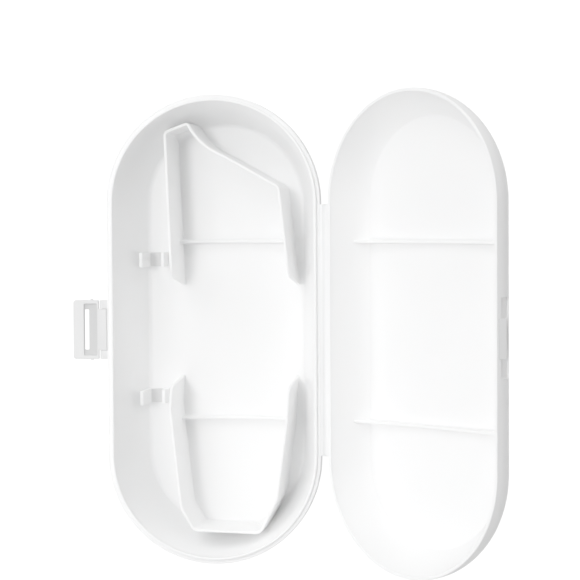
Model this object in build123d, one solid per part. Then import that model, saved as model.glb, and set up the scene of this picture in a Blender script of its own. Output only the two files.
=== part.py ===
from build123d import *
from math import atan2, cos, degrees, radians, sin, tan
import os

# A travel case for a water flosser, lying open on its back.
# Two stadium-shaped shells in white polypropylene are joined along one long side by a thin web that bends.
# The deep base holds the flosser in two cradles and its jet tips in two clips.
# The shallow lid stands open at an angle, and a flap on the far side of the base hooks over a lug on it.
#
# Millimetres. The origin is the middle of the face that the base stands on.
# +Z is up, +Y runs along the case towards the slanted cradle, +X points to the hinge and the lid.

# Plan of both shells
half_straight = 67.4  # from the middle of the case to the centre of each round end
mouth_radius = 54.2  # inside of both shells, just behind their rims
rim_width = 3.4
rim_edge_round = 0.4

# Base shell
base_depth = 42.0  # inside, from the parting plane to the floor
base_floor = 2.4
base_wall = 2.2
base_floor_inset = 10.8  # from the mouth in to the edge of the flat floor, below the sloping wall
base_foot_round = 2.5
base_bottom_round = 4.0
base_mouth_height = 3.0  # upright stretch of the inside wall, behind the tongue
lip_height = 6.5  # thicker band round the outside of the mouth
lip_under_round = 0.6

# Tongue on the base's rim, which the lid's rim goes over
tongue_height = 1.0
tongue_thickness = 1.4
tongue_round = 0.4
tongue_clearance = 0.25
seam_gap = 0.2  # between the two rims when the case is shut

# Lid shell
lid_depth = 18.6
lid_floor = 1.7
lid_floor_inset = 10.1  # from the mouth in to the edge of the flat floor
lid_wall_bulge = 2.0  # how far the wall's curve stands out from its chord, inside
lid_back_bulge = 4.0  # and outside
lid_back_step = 0.5  # the flat back's round ends, beyond the floor's
lid_rim_height = 1.2

# Hinge web
hinge_gap = 4.4  # between the two rims with the lid laid flat
hinge_length = 133.0
leaf_thickness = 0.9
film_width = 1.6
film_thickness = 0.4
lid_angle = 37.3  # how far the lid stands above flat

# Cradles, thin upright walls that follow the flosser's outline
cradle_wall = 1.5
cradle_height = 34.0

# Upper cradle. Each point is given by how far in it stands from the flat floor's edge:
# from the latch side for a left point or the hinge side for a right one, and from the upper end.
upper_left_foot_inset = 19.6
upper_left_corner = (16.2, 5.3)
upper_left_peak = (28.7, 0.6)
upper_left_shoulder_middle = (34.6, 9.4)
upper_left_shoulder_end = (46.9, 17.8)
upper_right_corner = (9.2, 35.1)
upper_right_foot_inset = 3.2
upper_mouth_y = 22.6  # where the walls end on the floor, from the middle of the case
upper_end_lean = 5.5  # how much shorter the walls are at their top
upper_end_round = 8.0

# Lower cradle, its points given in the same way, with the second number from the lower end
lower_left_foot_inset = 19.0
lower_left_bend = (18.2, 67.4)
lower_left_waist = (24.0, 13.9)
lower_left_corner = (30.9, 2.4)
lower_right_corner = (20.1, 1.5)
lower_right_waist = (11.0, 19.4)
lower_right_bend = (5.5, 59.4)
lower_right_foot_inset = 4.0
lower_bend_round = 20.0
lower_waist_round = 12.0
lower_corner_round = 4.0
lower_mouth_y = -27.2
lower_end_lean = 4.0
lower_end_round = 5.0

# Saddle ribs under the flosser, low in the middle and higher at the cradle's walls
saddle_thickness = 1.6
saddle_end_height = 9.5
saddle_middle_height = 4.0
upper_saddle_y = 46.6
lower_saddle_y = -50.4
lid_rib_thickness = 1.6
lid_rib_end_height = 6.6
lid_rib_middle_height = 2.8
lid_upper_rib_y = 46.8
lid_lower_rib_y = -48.4

# Clips for the jet tips, along the wall opposite the hinge
tip_diameter = 7.8
clip_prong = 2.0
clip_length = 7.8
clip_floor = 1.2
clip_wall_prong_height = 22.0
clip_inner_prong_height = 11.5
clip_edge_round = 0.6
clip_inset = 5.0  # from the flat floor's edge on the latch side to the tip's axis
upper_clip_y = 36.9
lower_clip_y = -38.5

# Latch: a flap on a pin between two ears, and the lug that it hooks
latch_reach = 2.7  # from the base's lip to the pin's axis
latch_drop = 4.0  # from the parting plane down to the pin's axis
pin_radius = 1.0
pin_clearance = 0.06
barrel_radius = 2.0  # half the height of the flap's squared barrel, and radius of the ears
barrel_corner_round = 0.8
ear_length = 4.7
barrel_length = 22.0
barrel_end_gap = 0.2
flap_length = 16.5  # from the pin's axis to the free edge
flap_width = 31.7
flap_thickness = 1.6
flap_ear_gap = 0.3
flap_corner_round = 1.5
flap_recess_depth = 0.8
flap_recess_margin = 1.9
window_clearance = 0.3
window_end_clearance = 0.8
nib_radius = 0.8
nib_from_pin = 6.3
lug_from_rim = 4.2
lug_thickness = 1.7
lug_length = 20.0
lug_stand = 1.5  # beyond the lid's rim
lug_nose_height = 0.5  # the flat of its nose, before the ramp
lug_ramp_from_rim = 1.4
lug_root_depth = 0.2  # below the pocket's floor, before it is trimmed to it
lug_nose_round = 0.2
pocket_length = 39.6
pocket_from_rim = 3.6
pocket_depth = 1.2
pocket_end = 12.5  # from the rim, where the pocket stops

# Radii of the round ends
rim_radius = mouth_radius + rim_width
base_floor_radius = mouth_radius - base_floor_inset
lid_mouth_radius = mouth_radius + tongue_thickness + tongue_clearance
lid_floor_radius = mouth_radius - lid_floor_inset

# Levels, from the face that the base stands on
floor_level = base_floor
parting_level = base_floor + base_depth
base_rim_level = parting_level - seam_gap / 2
cradle_top = floor_level + cradle_height
pin_level = parting_level - latch_drop
pin_x = -(rim_radius + latch_reach)
hinge_x = rim_radius + hinge_gap / 2
wall_lean = degrees(
    atan2(mouth_radius - base_floor_radius, base_depth - base_mouth_height)
)

LONG_REACH = 400.0  # longer than anything here, for cutting tools


# Building blocks


def section(*edges) -> Face:
    """A flat face in the XZ plane, inside closed edges given as x and z."""
    return Plane.XZ * make_face(Wire(list(edges)))


def polygon_section(*points, rounds=None) -> Face:
    """A face in the XZ plane with straight sides and a rounding at each corner, zero for a sharp one."""
    face = make_face(Polyline(*points, close=True))
    for point, radius in zip(points, rounds or []):
        if radius:
            corner = face.vertices().sort_by_distance(Vector(*point, 0))[0]
            face = fillet(corner, radius)
    return Plane.XZ * face


def round_ended(profile) -> Part:
    """A stadium-shaped solid: the profile turned round each end's centre and drawn along the straight sides."""
    far_end = Pos(0, half_straight, 0) * revolve(profile, Axis.Z, 180)
    near_end = mirror(far_end, Plane.XZ)
    side = extrude(profile, half_straight, both=True)
    return far_end + near_end + side + mirror(side, Plane.YZ)


def along_case(face, middle_y: float, length: float) -> Part:
    """A face from the XZ plane drawn along Y, centred on middle_y."""
    return Pos(0, middle_y, 0) * extrude(face, length / 2, both=True)


def box_between(low, high) -> Part:
    """A block between two opposite corners."""
    size = [b - a for a, b in zip(low, high)]
    return Pos(*low) * Box(*size, align=(Align.MIN, Align.MIN, Align.MIN))


# Base shell


def base_inside_section() -> Face:
    """Half section of the space inside the base, from the middle out to the sloping wall."""
    return polygon_section(
        (0, floor_level),
        (base_floor_radius, floor_level),
        (mouth_radius, parting_level - base_mouth_height),
        (mouth_radius, base_rim_level),
        (0, base_rim_level),
        rounds=[0, base_foot_round, 0, 0, 0],
    )


def base_outside_section() -> Face:
    """Half section of the base's outside: flat bottom, sloping wall, thicker lip round the mouth."""
    slope = (mouth_radius - base_floor_radius) / (base_depth - base_mouth_height)
    wall_across = base_wall / cos(radians(wall_lean))
    foot = base_floor_radius + wall_across - slope * base_floor
    lip_bottom = base_rim_level - lip_height
    under_lip = foot + slope * lip_bottom
    return polygon_section(
        (0, 0),
        (foot, 0),
        (under_lip, lip_bottom),
        (rim_radius, lip_bottom),
        (rim_radius, base_rim_level),
        (0, base_rim_level),
        rounds=[0, base_bottom_round, 0, lip_under_round, rim_edge_round, 0],
    )


def base_inside() -> Part:
    """The space inside the base, which the cradles and clips are trimmed to."""
    return round_ended(base_inside_section())


def make_base_shell() -> Part:
    return round_ended(base_outside_section() - base_inside_section())


def make_rim_tongue() -> Part:
    """A thin upstand round the mouth, which the lid's rim goes over."""
    top = base_rim_level + tongue_height
    outside = mouth_radius + tongue_thickness
    profile = polygon_section(
        (mouth_radius, base_rim_level),
        (outside, base_rim_level),
        (outside, top),
        (mouth_radius, top),
        rounds=[0, 0, tongue_round, tongue_round],
    )
    return round_ended(profile)


# Cradles and saddle ribs in the base


def cradle(path, side_outline) -> Part:
    """An upright wall along a path, with its ends cut to a side outline and its foot fitted to the shell."""
    plan = trace(path, line_width=cradle_wall)
    wall = Pos(0, 0, floor_level) * extrude(plan, cradle_height)
    ends = extrude(Plane.YZ * side_outline, LONG_REACH, both=True)
    return wall & ends & base_inside()


def end_outline(foot_y: float, lean: float, end_round: float, direction: int) -> Face:
    """Side view of a cradle's walls: a leaning end with a round top corner, running on past the shell."""
    far_y = direction * LONG_REACH
    top_y = foot_y + direction * lean
    outline = make_face(
        Polyline(
            (foot_y, floor_level),
            (top_y, cradle_top),
            (far_y, cradle_top),
            (far_y, floor_level),
            close=True,
        )
    )
    corner = outline.vertices().sort_by_distance(Vector(top_y, cradle_top, 0))[0]
    return fillet(corner, end_round)


def left_x(inset: float) -> float:
    """How far across a point is that stands in from the flat floor's edge on the latch side."""
    return inset - base_floor_radius


def right_x(inset: float) -> float:
    """The same for a point that stands in from the flat floor's edge on the hinge side."""
    return base_floor_radius - inset


def end_y(inset: float) -> float:
    """How far along a point is that stands in from the flat floor's upper end."""
    return half_straight + base_floor_radius - inset


def make_upper_cradle() -> Part:
    """Left wall, slanted shoulder and right wall round the flosser's head."""

    def left(point):
        return (left_x(point[0]), end_y(point[1]))

    right_corner = (right_x(upper_right_corner[0]), end_y(upper_right_corner[1]))
    left_wall = Line((left_x(upper_left_foot_inset), upper_mouth_y), left(upper_left_corner))
    top = Line(left(upper_left_corner), left(upper_left_peak))
    shoulder = ThreePointArc(
        left(upper_left_peak),
        left(upper_left_shoulder_middle),
        left(upper_left_shoulder_end),
    )
    slant = Line(left(upper_left_shoulder_end), right_corner)
    right_wall = Line(right_corner, (right_x(upper_right_foot_inset), upper_mouth_y))
    path = Wire([left_wall, top, shoulder, slant, right_wall])
    outline = end_outline(upper_mouth_y, upper_end_lean, upper_end_round, 1)
    return cradle(path, outline)


def make_lower_cradle() -> Part:
    """A tapering U round the flosser's handle."""

    def left(point):
        return (left_x(point[0]), -end_y(point[1]))

    def right(point):
        return (right_x(point[0]), -end_y(point[1]))

    path = FilletPolyline(
        (left_x(lower_left_foot_inset), lower_mouth_y),
        left(lower_left_bend),
        left(lower_left_waist),
        left(lower_left_corner),
        right(lower_right_corner),
        right(lower_right_waist),
        right(lower_right_bend),
        (right_x(lower_right_foot_inset), lower_mouth_y),
        radius=[
            lower_bend_round,
            lower_waist_round,
            lower_corner_round,
            lower_corner_round,
            lower_waist_round,
            lower_bend_round,
        ],
    )
    outline = end_outline(lower_mouth_y, lower_end_lean, lower_end_round, -1)
    return cradle(Wire(path.edges()), outline)


def hollow_topped(left, right, bottom, end_height, middle_height) -> Face:
    """A strip whose top edge is one arc, high at both ends and low in the middle."""
    middle = (left + right) / 2
    return section(
        Line((left, bottom), (right, bottom)),
        Line((right, bottom), (right, bottom + end_height)),
        ThreePointArc(
            (right, bottom + end_height),
            (middle, bottom + middle_height),
            (left, bottom + end_height),
        ),
        Line((left, bottom + end_height), (left, bottom)),
    )


def make_saddle(cradle_solid, y: float) -> Part:
    """A rib across the floor, from wall to wall of a cradle."""
    band = box_between(
        (-LONG_REACH, y - saddle_thickness / 2, floor_level + saddle_middle_height),
        (LONG_REACH, y + saddle_thickness / 2, floor_level + saddle_end_height),
    )
    walls = (cradle_solid & band).solids().sort_by(Axis.X)
    left = walls[0].bounding_box().min.X + cradle_wall / 2
    right = walls[-1].bounding_box().max.X - cradle_wall / 2
    face = hollow_topped(left, right, floor_level, saddle_end_height, saddle_middle_height)
    return along_case(face, y, saddle_thickness) - cradle_solid


# Clips for the jet tips


def make_tip_clip(y: float) -> Part:
    """A U-shaped clip that a jet tip is pressed into, with a tall prong next to the case's wall."""
    half_tip = tip_diameter / 2
    middle = left_x(clip_inset)
    wall_side = middle - half_tip - clip_prong
    inner_side = middle + half_tip + clip_prong
    block = polygon_section(
        (wall_side, floor_level),
        (inner_side, floor_level),
        (inner_side, floor_level + clip_inner_prong_height),
        (middle, floor_level + clip_inner_prong_height),
        (middle, floor_level + clip_wall_prong_height),
        (wall_side, floor_level + clip_wall_prong_height),
        rounds=[0, 0, clip_edge_round, 0, 0, clip_edge_round],
    )
    seat_level = floor_level + clip_floor + half_tip
    seat = Plane.XZ * (Pos(middle, seat_level) * Circle(half_tip))
    slot = polygon_section(
        (middle - half_tip, seat_level),
        (middle + half_tip, seat_level),
        (middle + half_tip, parting_level),
        (middle - half_tip, parting_level),
    )
    clip = along_case(block, y, clip_length) - along_case(seat, y, 2 * clip_length)
    return (clip - along_case(slot, y, 2 * clip_length)) & base_inside()


# Lid. It is modelled laid flat, mouth up, about its own middle, with the parting plane at z = 0.


def lid_wall_edge(start, end, bulge: float):
    """The curved wall of the lid's section, from start at its foot to end under the rim."""
    across = end[0] - start[0]
    rise = end[1] - start[1]
    length = (across**2 + rise**2) ** 0.5
    middle = (
        (start[0] + end[0]) / 2 + rise / length * bulge,
        (start[1] + end[1]) / 2 - across / length * bulge,
    )
    return ThreePointArc(start, middle, end)


def lid_inside_section() -> Face:
    """Half section of the space inside the lid, below its rim."""
    top = -seam_gap / 2 - lid_rim_height
    floor = -lid_depth
    return section(
        Line((0, floor), (lid_floor_radius, floor)),
        lid_wall_edge((lid_floor_radius, floor), (lid_mouth_radius, top), lid_wall_bulge),
        Line((lid_mouth_radius, top), (0, top)),
        Line((0, top), (0, floor)),
    )


def lid_outside_section() -> Face:
    """Half section of the lid's outside, below its rim."""
    top = -seam_gap / 2 - lid_rim_height
    back = -lid_depth - lid_floor
    foot = lid_floor_radius + lid_back_step
    return section(
        Line((0, back), (foot, back)),
        lid_wall_edge((foot, back), (rim_radius, top), lid_back_bulge),
        Line((rim_radius, top), (0, top)),
        Line((0, top), (0, back)),
    )


def lid_pocket() -> Part:
    """The recess in the lid's outside wall that the latch flap lies over, the depth of the pocket everywhere."""
    window = polygon_section(
        (mouth_radius - lid_depth, -pocket_end),
        (rim_radius + latch_reach, -pocket_end),
        (rim_radius + latch_reach, -pocket_from_rim),
        (mouth_radius - lid_depth, -pocket_from_rim),
    )
    kept = Pos(-pocket_depth, 0, 0) * lid_outside_section()
    return along_case(window - kept, 0, pocket_length)


def pocket_back() -> Part:
    """The wall's thickness carried inwards behind the pocket, so that it stays closed."""
    window = polygon_section(
        (mouth_radius - lid_depth, -pocket_end),
        (rim_radius, -pocket_end),
        (rim_radius, -pocket_from_rim),
        (mouth_radius - lid_depth, -pocket_from_rim),
    )
    inside = lid_inside_section()
    ridge = (inside & window) - Pos(-pocket_depth, 0, 0) * inside
    return along_case(ridge, 0, pocket_length)


def flat_lid_shell() -> Part:
    shell = round_ended(lid_outside_section() - lid_inside_section())
    return shell + pocket_back() - lid_pocket()


def flat_lid_rim() -> Part:
    """The band round the lid's mouth, wide enough inside to go over the base's tongue."""
    top = -seam_gap / 2
    bottom = top - lid_rim_height
    profile = polygon_section(
        (lid_mouth_radius, bottom),
        (rim_radius, bottom),
        (rim_radius, top),
        (lid_mouth_radius, top),
        rounds=[0, 0, rim_edge_round, rim_edge_round / 2],
    )
    return round_ended(profile)


def flat_lid_rib(y: float) -> Part:
    """A rib across the lid that holds the flosser down, trimmed to the lid's wall."""
    strip = hollow_topped(
        -mouth_radius, mouth_radius, -lid_depth, lid_rib_end_height, lid_rib_middle_height
    )
    inside = lid_inside_section()
    return along_case(strip & (inside + mirror(inside, Plane.YZ)), y, lid_rib_thickness)


def flat_lid_catch() -> Part:
    """The lug that the latch's window drops over: a ramp from below the rim out to its nose."""
    nose = rim_radius + lug_stand
    root = rim_radius - pocket_depth - lug_root_depth
    catch_face = -lug_from_rim - lug_thickness
    bar = polygon_section(
        (root, catch_face),
        (nose, catch_face),
        (nose, catch_face + lug_nose_height),
        (rim_radius, -lug_ramp_from_rim),
        (root, -lug_ramp_from_rim),
        rounds=[0, lug_nose_round, lug_nose_round, 0, 0],
    )
    return along_case(bar, 0, lug_length) - flat_lid_shell()


def flat_hinge_leaf() -> Part:
    """The stiff edge of the web on the lid's side, next to the rim that faces the hinge."""
    inner = -rim_radius
    outer = -(rim_radius + hinge_gap / 2 - film_width / 2)
    return box_between(
        (outer, -hinge_length / 2, -seam_gap - leaf_thickness),
        (inner, hinge_length / 2, -seam_gap),
    )


def on_open_lid(flat: Part) -> Part:
    """Moves a piece of the flat lid to its place beside the base, and swings it up about the hinge."""
    beside = Pos(rim_radius + hinge_gap / 2, 0, 0) * flat
    return Pos(hinge_x, 0, parting_level) * Rot(0, -lid_angle, 0) * beside


# Hinge web


def make_base_hinge_leaf() -> Part:
    """The stiff edge of the web on the base's side."""
    return box_between(
        (rim_radius, -hinge_length / 2, parting_level - seam_gap - leaf_thickness),
        (hinge_x - film_width / 2, hinge_length / 2, parting_level - seam_gap),
    )


def make_hinge_film() -> Part:
    """The thin strip that bends, from one leaf to the other, folded by the angle that the lid stands at."""
    middle = -seam_gap - leaf_thickness / 2
    upper, lower = middle + film_thickness / 2, middle - film_thickness / 2
    half_fold = radians(lid_angle / 2)
    half_width = film_width / 2

    def on_lid(x, z):
        turn = radians(lid_angle)
        return (x * cos(turn) - z * sin(turn), x * sin(turn) + z * cos(turn))

    face = polygon_section(
        (-half_width, lower),
        (-lower * tan(half_fold), lower),
        on_lid(half_width, lower),
        on_lid(half_width, upper),
        (-upper * tan(half_fold), upper),
        (-half_width, upper),
    )
    return Pos(hinge_x, 0, parting_level) * along_case(face, 0, hinge_length)


# Latch


def make_latch_ear(side: int) -> Part:
    """One of the two lugs on the lip that carry the pin. side is 1 for the upper end and -1 for the lower."""
    knuckle = Pos(pin_x, pin_level) * Circle(barrel_radius)
    arm = Pos(pin_x + latch_reach / 2, pin_level) * Rectangle(latch_reach, 2 * barrel_radius)
    hole = Pos(pin_x, pin_level) * Circle(pin_radius)
    middle_y = side * (barrel_length / 2 + barrel_end_gap + ear_length / 2)
    return along_case(Plane.XZ * (knuckle + arm - hole), middle_y, ear_length)


def make_latch_pin() -> Part:
    """The plain pin that the flap turns on, held in both ears."""
    length = barrel_length + 2 * (barrel_end_gap + ear_length)
    return along_case(Plane.XZ * (Pos(pin_x, pin_level) * Circle(pin_radius)), 0, length)


def make_latch_flap() -> Part:
    """The flap in its open place, level and pointing away from the case, with its hooking side up.

    A squared barrel between the ears turns on the pin. The plate starts beyond the ears. It has the
    window that drops over the lug, a recess from there to the barrel, and a plain tab to lift it by.
    """
    half_width = flap_width / 2
    top = pin_level + barrel_radius
    free_edge = pin_x - flap_length
    past_ears = pin_x - barrel_radius - flap_ear_gap

    plate = box_between(
        (free_edge, -half_width, top - flap_thickness),
        (past_ears, half_width, top),
    )
    tip_corners = plate.edges().filter_by(Axis.Z).group_by(Axis.X)[0]
    plate = fillet(tip_corners, flap_corner_round)
    neck = box_between(
        (past_ears, -barrel_length / 2, top - flap_thickness),
        (pin_x, barrel_length / 2, top),
    )
    square = RectangleRounded(2 * barrel_radius, 2 * barrel_radius, barrel_corner_round)
    barrel = Plane.XZ * (Pos(pin_x, pin_level) * square)
    bore = Plane.XZ * (Pos(pin_x, pin_level) * Circle(pin_radius + pin_clearance))

    lug_near = latch_drop + lug_from_rim
    window_near_x = pin_x - lug_near + window_clearance
    window_far_x = pin_x - lug_near - lug_thickness - window_clearance
    half_window = lug_length / 2 + window_end_clearance
    window = box_between(
        (window_far_x, -half_window, top - 2 * flap_thickness),
        (window_near_x, half_window, parting_level),
    )
    half_recess = half_width - flap_recess_margin
    recess = box_between(
        (window_far_x, -half_recess, top - flap_recess_depth),
        (past_ears - flap_recess_margin / 2, half_recess, parting_level),
    )
    flap = plate + neck + along_case(barrel, 0, barrel_length)
    for side in (-1, 1):
        nib = Cylinder(nib_radius, flap_thickness, align=(Align.CENTER, Align.CENTER, Align.MIN))
        flap += Pos(pin_x - nib_from_pin, side * half_width, top - flap_thickness) * nib
    return flap - recess - window - along_case(bore, 0, LONG_REACH)


def export_all() -> None:
    """Writes every piece as its own STEP file."""
    upper_cradle = make_upper_cradle()
    lower_cradle = make_lower_cradle()
    pieces = {
        "base_shell": make_base_shell(),
        "base_rim_tongue": make_rim_tongue(),
        "base_hinge_leaf": make_base_hinge_leaf(),
        "upper_cradle": upper_cradle,
        "upper_saddle_rib": make_saddle(upper_cradle, upper_saddle_y),
        "lower_cradle": lower_cradle,
        "lower_saddle_rib": make_saddle(lower_cradle, lower_saddle_y),
        "upper_tip_clip": make_tip_clip(upper_clip_y),
        "lower_tip_clip": make_tip_clip(lower_clip_y),
        "upper_latch_ear": make_latch_ear(1),
        "lower_latch_ear": make_latch_ear(-1),
        "latch_pin": make_latch_pin(),
        "latch_flap": make_latch_flap(),
        "hinge_film": make_hinge_film(),
        "lid_hinge_leaf": on_open_lid(flat_hinge_leaf()),
        "lid_shell": on_open_lid(flat_lid_shell()),
        "lid_rim": on_open_lid(flat_lid_rim()),
        "lid_upper_rib": on_open_lid(flat_lid_rib(lid_upper_rib_y)),
        "lid_lower_rib": on_open_lid(flat_lid_rib(lid_lower_rib_y)),
        "lid_catch": on_open_lid(flat_lid_catch()),
    }
    os.makedirs("parts", exist_ok=True)
    for name, piece in pieces.items():
        piece.label = name
        export_step(piece, f"parts/{name}.step")
        print(name, round(piece.volume, 1))


if __name__ == "__main__":
    export_all()
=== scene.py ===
"""An open travel case for a water flosser, in white moulded polypropylene.

The deep base stands on its flat back, the shallow lid leans open beside it on a thin web, and
the latch flap stands out level on the far side. Every shape here is a surface worked out with
numpy in millimetres, in the frame of the CAD model, and turned to metres when its mesh is made.
"""

import logging
import math
from dataclasses import dataclass, field
from enum import Enum

import bmesh
import bpy
import numpy as np
from mathutils import Matrix, Vector

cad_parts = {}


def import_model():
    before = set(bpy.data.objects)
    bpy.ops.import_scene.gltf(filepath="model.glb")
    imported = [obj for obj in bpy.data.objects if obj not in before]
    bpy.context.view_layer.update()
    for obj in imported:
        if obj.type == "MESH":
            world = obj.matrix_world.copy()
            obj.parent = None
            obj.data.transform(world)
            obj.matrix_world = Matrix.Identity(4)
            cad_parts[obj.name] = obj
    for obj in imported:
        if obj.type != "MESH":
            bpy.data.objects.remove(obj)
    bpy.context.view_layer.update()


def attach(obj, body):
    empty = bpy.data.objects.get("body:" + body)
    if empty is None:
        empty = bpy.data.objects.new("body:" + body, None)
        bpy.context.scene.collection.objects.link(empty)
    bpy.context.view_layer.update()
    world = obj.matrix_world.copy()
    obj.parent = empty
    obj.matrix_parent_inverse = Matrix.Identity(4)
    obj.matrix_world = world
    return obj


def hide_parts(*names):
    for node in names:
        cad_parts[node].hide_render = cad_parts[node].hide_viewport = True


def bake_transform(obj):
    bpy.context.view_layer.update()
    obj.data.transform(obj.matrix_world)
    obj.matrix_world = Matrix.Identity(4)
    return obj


LOG = logging.getLogger("travel_case")
METRES = 0.001  # one millimetre
WELD = 1e-6  # metres within which two points are one
NEAR = 0.01  # allowance for rounding where points are picked by their place
TINY = 1e-6  # stands in for nothing where angles and shares are compared
EDGE_SUPPORT = 0.22  # from the end of a straight run to the point that keeps it flat there
ROUND_STEPS = 96  # points round the latch's ears and barrel
PLAN_SPACING = 1.5  # between points of a cradle's straight runs
UPPER_MOUTH = 22.6  # where the walls of each cradle end, along the case
LOWER_MOUTH = -27.2
RIB_FOOT_ROWS = np.array([0.0, 0.1, 0.25, 0.5])  # heights of the rows at a rib's foot
RIB_TOP_ROWS = np.array([0.0, 0.04, 0.12, 0.25, 0.42, 0.7, 1.2, 1.8])  # distances below its top


class Body(Enum):
    """The bodies of the case that move on their own."""

    BASE = "base"
    LID = "lid"
    LATCH = "latch"


class Finish(Enum):
    """The record's material slots."""

    CASE = "case_white"
    WEB = "web_white"
    LATCH = "latch_white"


@dataclass(frozen=True)
class CaseSizes:
    """Sizes that more than one piece needs, in millimetres."""

    half_straight: float = 67.4
    mouth_radius: float = 54.2
    rim_radius: float = 57.6
    floor_level: float = 2.4
    base_depth: float = 42.0
    base_floor_radius: float = 43.4
    base_mouth_height: float = 3.0
    base_foot_round: float = 2.5
    seam_gap: float = 0.2
    lid_depth: float = 18.6
    lid_floor_radius: float = 44.1
    lid_wall_bulge: float = 2.0
    lid_rim_height: float = 1.2
    lid_angle: float = 37.3
    hinge_gap: float = 4.4
    latch_reach: float = 2.7
    latch_drop: float = 4.0
    tongue_thickness: float = 1.4
    tongue_clearance: float = 0.25
    sunk: float = 0.35  # how far a rib or wall runs on into what carries it

    @property
    def parting_level(self) -> float:
        """Height of the plane where the two rims meet."""
        return self.floor_level + self.base_depth

    @property
    def base_rim_level(self) -> float:
        """Height of the base's rim."""
        return self.parting_level - self.seam_gap / 2

    @property
    def lid_mouth_radius(self) -> float:
        """Inside of the lid at its rim, which goes over the base's tongue."""
        return self.mouth_radius + self.tongue_thickness + self.tongue_clearance

    @property
    def hinge_x(self) -> float:
        """Where the web bends, across the case."""
        return self.rim_radius + self.hinge_gap / 2

    @property
    def pin_x(self) -> float:
        """Where the latch's pin is, across the case."""
        return -self.rim_radius - self.latch_reach

    @property
    def pin_level(self) -> float:
        """Height of the latch's pin."""
        return self.parting_level - self.latch_drop

    def open_lid(self, points: np.ndarray) -> np.ndarray:
        """Moves points of the flat lid to the open lid.

        The flat lid lies mouth up about its own middle with the parting plane at zero. It is set
        beside the hinge and turned up by the lid's angle: x is x cos minus z sin, and z is x sin
        plus z cos.

        Args:
            points: An array whose last axis is x, y and z of the flat lid.

        Returns:
            The same points in the frame of the whole case.
        """
        turn = math.radians(self.lid_angle)
        across = points[..., 0] + self.rim_radius + self.hinge_gap / 2
        height = points[..., 2]
        x = across * math.cos(turn) - height * math.sin(turn) + self.hinge_x
        z = across * math.sin(turn) + height * math.cos(turn) + self.parting_level
        return np.stack([x, points[..., 1], z], axis=-1)


SIZES = CaseSizes()


# Shapes on grids


def smooth_step(value: np.ndarray) -> np.ndarray:
    """Three times the value squared less twice its cube, held at 0 below 0 and at 1 above 1."""
    held = np.clip(value, 0.0, 1.0)
    return held * held * (3.0 - 2.0 * held)


def line_points(start: np.ndarray, end: np.ndarray, spacing: float) -> np.ndarray:
    """Points between two ends, without the ends.

    A point is the start plus its share of the run. Two more stand close to the ends, so that a
    flat face stays flat right up to a rounded edge.

    Args:
        start: First end.
        end: Last end.
        spacing: The most that neighbours may be apart.

    Returns:
        The points, one row each.
    """
    length = float(np.linalg.norm(end - start))
    share = np.linspace(0.0, 1.0, max(1, math.ceil(length / spacing)) + 1)[1:-1]
    if length > 4 * EDGE_SUPPORT:
        edge = EDGE_SUPPORT / length
        inner = share[(share > 1.5 * edge) & (share < 1 - 1.5 * edge)]
        share = np.concatenate([[edge], inner, [1 - edge]])
    return start + share[:, None] * (end - start)


def rounded_outline(
    corners: list[tuple[float, float]],
    rounds: list[float],
    spacing: float = 2.0,
    closed: bool = True,
    arc_steps: int = 6,
) -> np.ndarray:
    """A line with straight runs and an arc in place of each corner.

    The arc of radius r at a corner that turns by a starts r tan(a / 2) before it. Its points are
    the arc's centre plus r times the cosine and sine of an evenly growing angle.

    Args:
        corners: The corners in order.
        rounds: The radius at each corner, zero for a sharp one.
        spacing: The most that points of a straight run may be apart.
        closed: Whether the line comes back to its first corner.
        arc_steps: How many steps an arc has.

    Returns:
        The line's points, one row each.
    """
    at = np.asarray(corners, float)
    count = len(at)
    bends = []
    for index, (corner, radius) in enumerate(zip(at, rounds)):
        if radius == 0 or (not closed and index in (0, count - 1)):
            bends.append(corner[None])
            continue
        incoming = corner - at[index - 1]
        outgoing = at[(index + 1) % count] - corner
        incoming = incoming / np.linalg.norm(incoming)
        outgoing = outgoing / np.linalg.norm(outgoing)
        cross = incoming[0] * outgoing[1] - incoming[1] * outgoing[0]
        turn = math.atan2(cross, float(incoming @ outgoing))
        start = corner - incoming * radius * math.tan(abs(turn) / 2)
        sideways = np.array([-incoming[1], incoming[0]]) * math.copysign(1.0, turn)
        centre = start + sideways * radius
        first = math.atan2(*(start - centre)[::-1])
        angle = first + np.linspace(0.0, turn, arc_steps + 1)
        bends.append(centre + radius * np.stack([np.cos(angle), np.sin(angle)], axis=1))
    runs = []
    for index, bend in enumerate(bends):
        runs.append(bend)
        if closed or index < count - 1:
            runs.append(line_points(bend[-1], bends[(index + 1) % count][0], spacing))
    return np.concatenate(runs)


def arc_through(ends: float, middle: float, half_span: float, across: np.ndarray) -> np.ndarray:
    """Height of a hollow arc, the same at both ends of its span and lowest in the middle.

    With the sag s, the radius is (half span squared plus s squared) / 2 s, and the height is the
    middle's plus the radius less the root of the radius squared less x squared.

    Args:
        ends: Height at both ends.
        middle: Height in the middle.
        half_span: Half the distance between the ends.
        across: Where to work it out, from the middle.

    Returns:
        The height at each place.
    """
    sag = ends - middle
    radius = (half_span**2 + sag**2) / (2 * sag)
    return middle + radius - np.sqrt(radius**2 - np.clip(across, -half_span, half_span) ** 2)


def edge_thickness(half: float, edge: float, inwards: np.ndarray) -> np.ndarray:
    """Half thickness of a thin wall near a free edge that is rounded.

    Within the edge radius r of the free edge it is the flat part left over plus the root of r
    squared less (r less the distance) squared, and further in it is the full half thickness.

    Args:
        half: Half of the wall's thickness.
        edge: Radius of the rounding, no more than half.
        inwards: Distance from the free edge at each point.

    Returns:
        Half thickness at each point.
    """
    short = edge - np.clip(inwards, 0.0, edge)
    return half - edge + np.sqrt(edge**2 - short**2)


def foot_flare(radius: float, above: np.ndarray) -> np.ndarray:
    """Extra thickness at a foot: r less the root of r squared less (r less the height) squared."""
    short = radius - np.clip(above, 0.0, radius)
    return radius - np.sqrt(radius**2 - short**2)


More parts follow.
